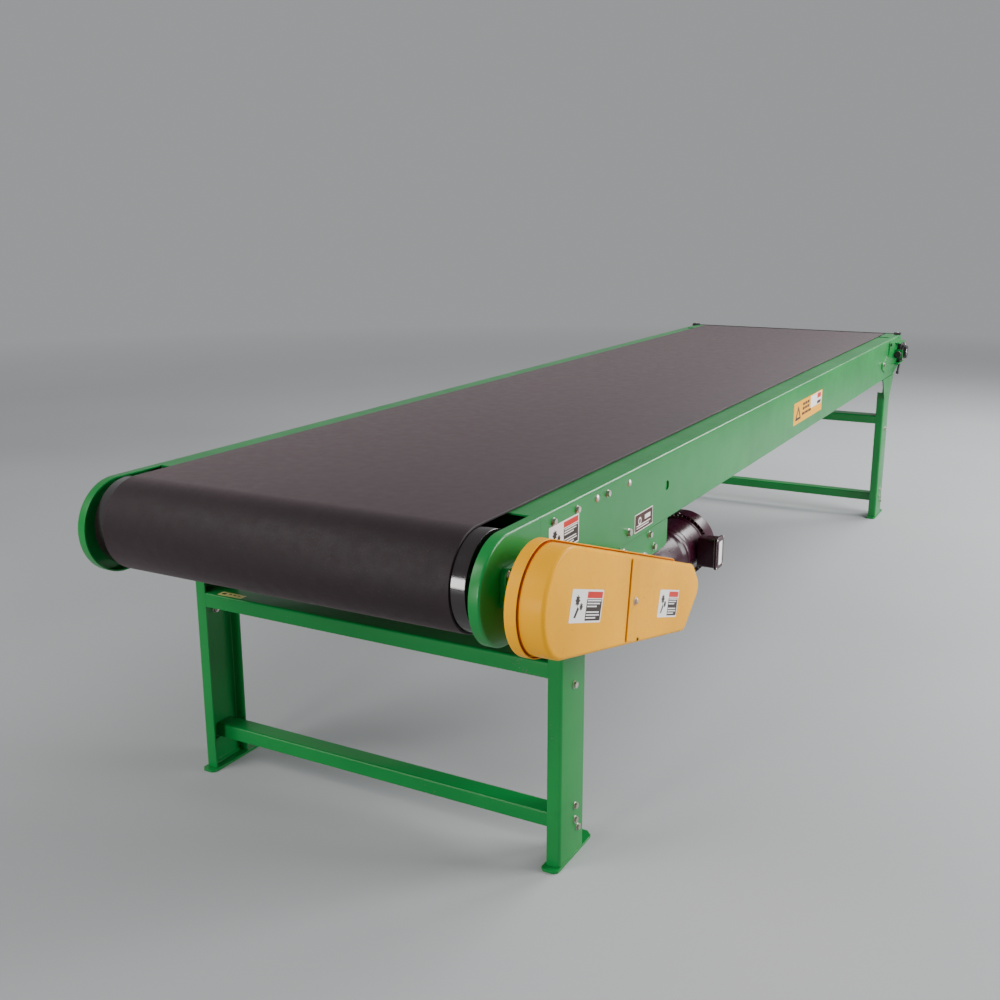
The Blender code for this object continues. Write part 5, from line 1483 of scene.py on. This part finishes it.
def conduit_box():
    """Pressed terminal box with a gasket, a lipped lid, four screws and a blanked entry."""
    low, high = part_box("conduit_box")
    cy = (low.y + high.y) / 2
    cz = (low.z + high.z) / 2
    half_y = (high.y - low.y) / 2
    half_z = (high.z - low.z) / 2
    face = high.x

    def layer(name, trim_y, trim_z, corner, start, stop, material=MAROON):
        outline = square(Vector((0, cy, cz)), half_y - trim_y, half_z - trim_z, corner)
        return extrude(name, outline, "YZ", start, stop, material)

    body = layer("conduit_body", 0.004, 0.004, 0.009, low.x, face - 0.0100)
    body = boolean(body, [layer("neck", 0.020, 0.024, 0.010, low.x, low.x + 0.006)], "UNION")
    parts = [body, layer("gasket", 0.0025, 0.0025, 0.010, face - 0.0102, face - 0.0086, WHITE_FILM),
             layer("lid", 0.0, 0.0, 0.0105, face - 0.0088, face - 0.0022),
             layer("lid_rise", 0.009, 0.009, 0.008, face - 0.0024, face - 0.0008)]
    box_piece = merge("conduit_case", parts)
    fit(soften(box_piece, 0.0007, 3), "frame", "drive_paint", "conduit_box")
    panel = (Vector((face - 0.0009, cy, cz)), Vector((0, 1, 0)), Vector((0, 0, 1)), Vector((1, 0, 0)))
    label = film_rect(panel, (-half_y + 0.019, half_y - 0.017), (-half_z + 0.012, half_z - 0.012),
                      (0.0, 0.0004), WHITE_FILM, 0.003)
    fit(merge("conduit_data_plate", [label]), "frame", "drive_paint")
    screws = []
    for a in (-1, 1):
        for b in (-1, 1):
            spot = Vector((face - 0.0023, cy + a * (half_y - 0.0052), cz + b * (half_z - 0.0052)))
            screws.append(slotted_screw(spot, "+X", 0.0028, 0.0020, ZINC))
    spot = Vector(((low.x + face) / 2 - 0.002, cy + half_y - 0.0042, cz - 0.010))
    screws.append(spun("plug", [(0.0, 0.0105), (0.0012, 0.0105), (0.0018, 0.0090), (0.0018, 0.0050)], spot,
                       "+Y", ZINC, 32))
    fit(merge("conduit_screws", screws), "frame", "zinc_steel")


def reducer():
    """Housing kept from the frame; bolts are added to it and to its bracket."""
    low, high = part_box("gear_reducer")
    spot = centre("drive_sprocket")
    parts = []
    for angle in angles(6, 0.5):
        place = Vector((low.x + 0.0002, spot.y + 0.0395 * math.cos(angle), spot.z + 0.0395 * math.sin(angle)))
        parts += hex_bolt(place, "-X", 0.0052, ZINC, turn=angle, washer=False)
    for angle in angles(4, 0.5):
        place = Vector((MOTOR.x + 0.052 * math.cos(angle), high.y - 0.0195,
                        MOTOR.z + 0.052 * math.sin(angle)))
        parts += hex_bolt(place, "-Y", 0.0075, ZINC, turn=angle, washer=False)
    parts += hex_bolt(Vector((MOTOR.x - 0.030, spot.y + 0.045, high.z)), "+Z", 0.0090, ZINC)
    parts += hex_bolt(Vector((low.x + 0.0125, low.y + 0.030, low.z + 0.060)), "-X", 0.0085, ZINC)
    fit(merge("reducer_bolts", parts), "frame", "zinc_steel")
    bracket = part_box("reducer_bracket")
    face = bracket[1].x
    parts = []
    for y, z in ((0.8831, 0.6653), (0.9138, 0.6256), (0.715, 0.662)):
        parts += hex_bolt(Vector((face, FRONT_Y + y, z)), "+X", 0.0090, ZINC, turn=y * 3)
    for y, z in ((0.735, 0.5150), (0.850, 0.5150), (0.735, 0.6180), (0.850, 0.6180)):
        parts += hex_bolt(Vector((face, FRONT_Y + y, z)), "+X", 0.0085, ZINC, turn=y * 5)
    for y in (0.720, 0.850, 0.965):
        place = Vector((MID_X + 0.5085, FRONT_Y + y, BOTTOM + SHEET))
        parts += hex_bolt(place, "+Z", 0.0075, ZINC, turn=y)
    fit(merge("bracket_bolts", parts), "frame", "zinc_steel")


# ------------------------------------------------------------------ floor supports

LEG_SHEET = 0.0045
LEG_BEND = 0.0075
LEG_FLANGE = 0.034
LEG_HEAD_Z = 0.585
LEG_TAPER = 0.062


def leg(end, side_name, side):
    """Folded channel leg with a flared head plate and a cap under the side frame."""
    node = "leg_%s_%s" % (end, side_name)
    low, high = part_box(node)
    front = low.y + LEG_TAPER
    back = high.y - LEG_TAPER
    path = [(HALF_WIDTH - LEG_FLANGE, front), (HALF_WIDTH, front), (HALF_WIDTH, back),
            (HALF_WIDTH - LEG_FLANGE, back)]
    section = [(MID_X + side * a, b) for a, b in bent_strip(path, LEG_SHEET, LEG_BEND)]
    channel = extrude(node + "_channel", section, "XY", low.z, LEG_HEAD_Z + 0.030, GREEN)
    xs = sorted((web_x(side), web_x(side, LEG_SHEET)))
    top = high.z
    outline = rounded([(front + 0.007, LEG_HEAD_Z - 0.02, 0), (back - 0.007, LEG_HEAD_Z - 0.02, 0),
                       (back, LEG_HEAD_Z + 0.002, 0), (high.y, top, 0), (low.y, top, 0),
                       (front, LEG_HEAD_Z + 0.002, 0)], 4)
    head = extrude("head", outline, "YZ", *xs, GREEN)
    xs = between(side, 0.001, 0.042)
    cap = block("cap", xs, (low.y + 0.004, high.y - 0.004), (top - 0.005, top), GREEN)
    piece = boolean(channel, [head, cap], "UNION")
    fit(soften(piece, 0.0005), "frame", "frame_paint", node)


def leg_bolts(end, side_name, side):
    node = "leg_%s_%s" % (end, side_name)
    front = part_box(node)[0].y + LEG_TAPER
    facing = outward(side)
    parts = []
    for dy, z, size in ((0.0646, 0.4333, 0.0085), (0.0773, 0.1290, 0.0080), (0.0784, 0.0930, 0.0080),
                        (0.0924, 0.0675, 0.0080)):
        parts += hex_bolt(Vector((web_x(side), front + dy, z)), facing, size, turn=dy * 9)
    for dy in (-0.040, 0.040, 0.086, 0.166):
        spot = Vector((web_x(side, 0.024), front + dy, BOTTOM + SHEET))
        parts += hex_bolt(spot, "+Z", 0.0085, nut=True, turn=dy * 7)
    inner_nut = Vector((web_x(side, LEG_SHEET), front + 0.0646, 0.4333))
    parts += hex_bolt(inner_nut, outward(-side), 0.0085, nut=True)
    fit(merge(node + "_bolts", parts), "frame", "zinc_steel")


def foot(end, side_name, side):
    """Floor plate with clipped corners and an upright tab."""
    node = "foot_%s_%s" % (end, side_name)
    low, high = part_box(node)
    outer, inner = (high.x, low.x) if side > 0 else (low.x, high.x)
    clip = 0.008
    outline = rounded([
        (inner, low.y + clip, 0.002), (inner + side * clip, low.y, 0.002),
        (outer - side * clip, low.y, 0.002),
        (outer, low.y + clip, 0.002), (outer, high.y - 0.016, 0.002),
        (outer - side * 2 * clip, high.y, 0.002),
        (inner + side * clip, high.y, 0.002), (inner, high.y - clip, 0.002)], 4)
    thick = 0.0065
    plate = extrude(node + "_plate", outline, "XY", low.z, low.z + thick, GREEN)
    leg_low, leg_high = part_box("leg_%s_%s" % (end, side_name))
    front = leg_low.y + LEG_TAPER
    back = leg_high.y - LEG_TAPER
    face = web_x(side, LEG_SHEET + GAP)
    wedge = [(face - side * 0.006, high.z), (face, high.z), (face, low.z + thick - 0.001),
             (face - side * 0.012, low.z + thick - 0.001), (face - side * 0.012, low.z + thick + 0.0005),
             (face - side * 0.006, low.z + thick + 0.006)]
    tab = extrude("tab", wedge, "XZ", front + LEG_SHEET + 0.002, back - LEG_SHEET - 0.002, GREEN)
    piece = boolean(plate, [tab], "UNION")
    fit(soften(piece, 0.0008), "foot_slide_%s_%s" % (end, side_name), "frame_paint", node)


def beam(node, sheet, bend, notch):
    """Angle folded along its front edge, notched round the leg flanges when it is flush with them."""
    low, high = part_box(node)
    path = [(high.y, high.z), (low.y, high.z), (low.y, low.z)]
    piece = extrude(node + "_angle", bent_strip(path, sheet, bend), "YZ", low.x, high.x, GREEN)
    if notch:
        cutters = []
        for side in (-1, 1):
            xs = between(side, LEG_FLANGE + GAP, -0.05)
            cutters.append(block("notch", xs, (low.y - 0.01, low.y + LEG_SHEET + GAP),
                                 (low.z - 0.01, high.z + 0.01), GREEN))
        piece = boolean(piece, cutters)
    fit(soften(piece, 0.0006), "frame", "frame_paint", node)


def supports():
    for end in ("near", "far"):
        beam("upper_beam_" + end, 0.004, 0.0060, True)
        beam("lower_beam_" + end, 0.004, 0.0060, False)
        for side_name, side in SIDES:
            leg(end, side_name, side)
            leg_bolts(end, side_name, side)
            foot(end, side_name, side)


# ------------------------------------------------------------------ finishes on the frame's own nodes

def refinish(node, material, width=0.0008, segments=2):
    piece = bpy.data.objects[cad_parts[node].name]
    for slot in piece.material_slots:
        slot.material = material
    soften(piece, width, segments)


def kept_nodes():
    refinish("gear_reducer", MAROON, 0.0016, 3)
    for node in ("reducer_bracket", "guard_standoff"):
        refinish(node, GREEN, 0.0008)
    refinish("motor_fan", PLASTIC, 0.0005)
    for node in ("drive_sprocket", "driven_sprocket"):
        refinish(node, MACHINED, 0.0005)
    refinish("roller_chain", OILED, 0.0004)


# ------------------------------------------------------------------ assembly

bed()
braces()
belt()
pulley("drive_drum", "drive_pulley", DRIVE, "drive_pulley_set", DRIVE_RADIUS)
pulley("tail_drum", "tail_pulley", TAIL, "tail_pulley_set", TAIL_RADIUS)
for roller_node, roller_body in (("snub_roller", "snub"), ("return_roller_1", "return_1"),
                                 ("return_roller_2", "return_2")):
    roller(roller_node, roller_body)
for axle_node in ("snub_axle", "return_axle_1", "return_axle_2"):
    axle(axle_node)
keyed_shaft("drive_shaft", "drive_pulley_set")
keyed_shaft("tail_shaft", "tail_pulley_set")
keyed_shaft("reducer_output_shaft", "reducer_output")
for name_of_side, sign in SIDES:
    side_channel(name_of_side, sign)
    end_plate(name_of_side, sign)
    frame_bolts(name_of_side, sign)
    drive_bearing(name_of_side, sign)
    take_up_plate(name_of_side, sign)
    tail_unit(name_of_side, sign)
    take_up_screw(name_of_side)
tail_details()
guard()
labels()
motor()
adapter()
fan_cover()
conduit_box()
reducer()
supports()
kept_nodes()
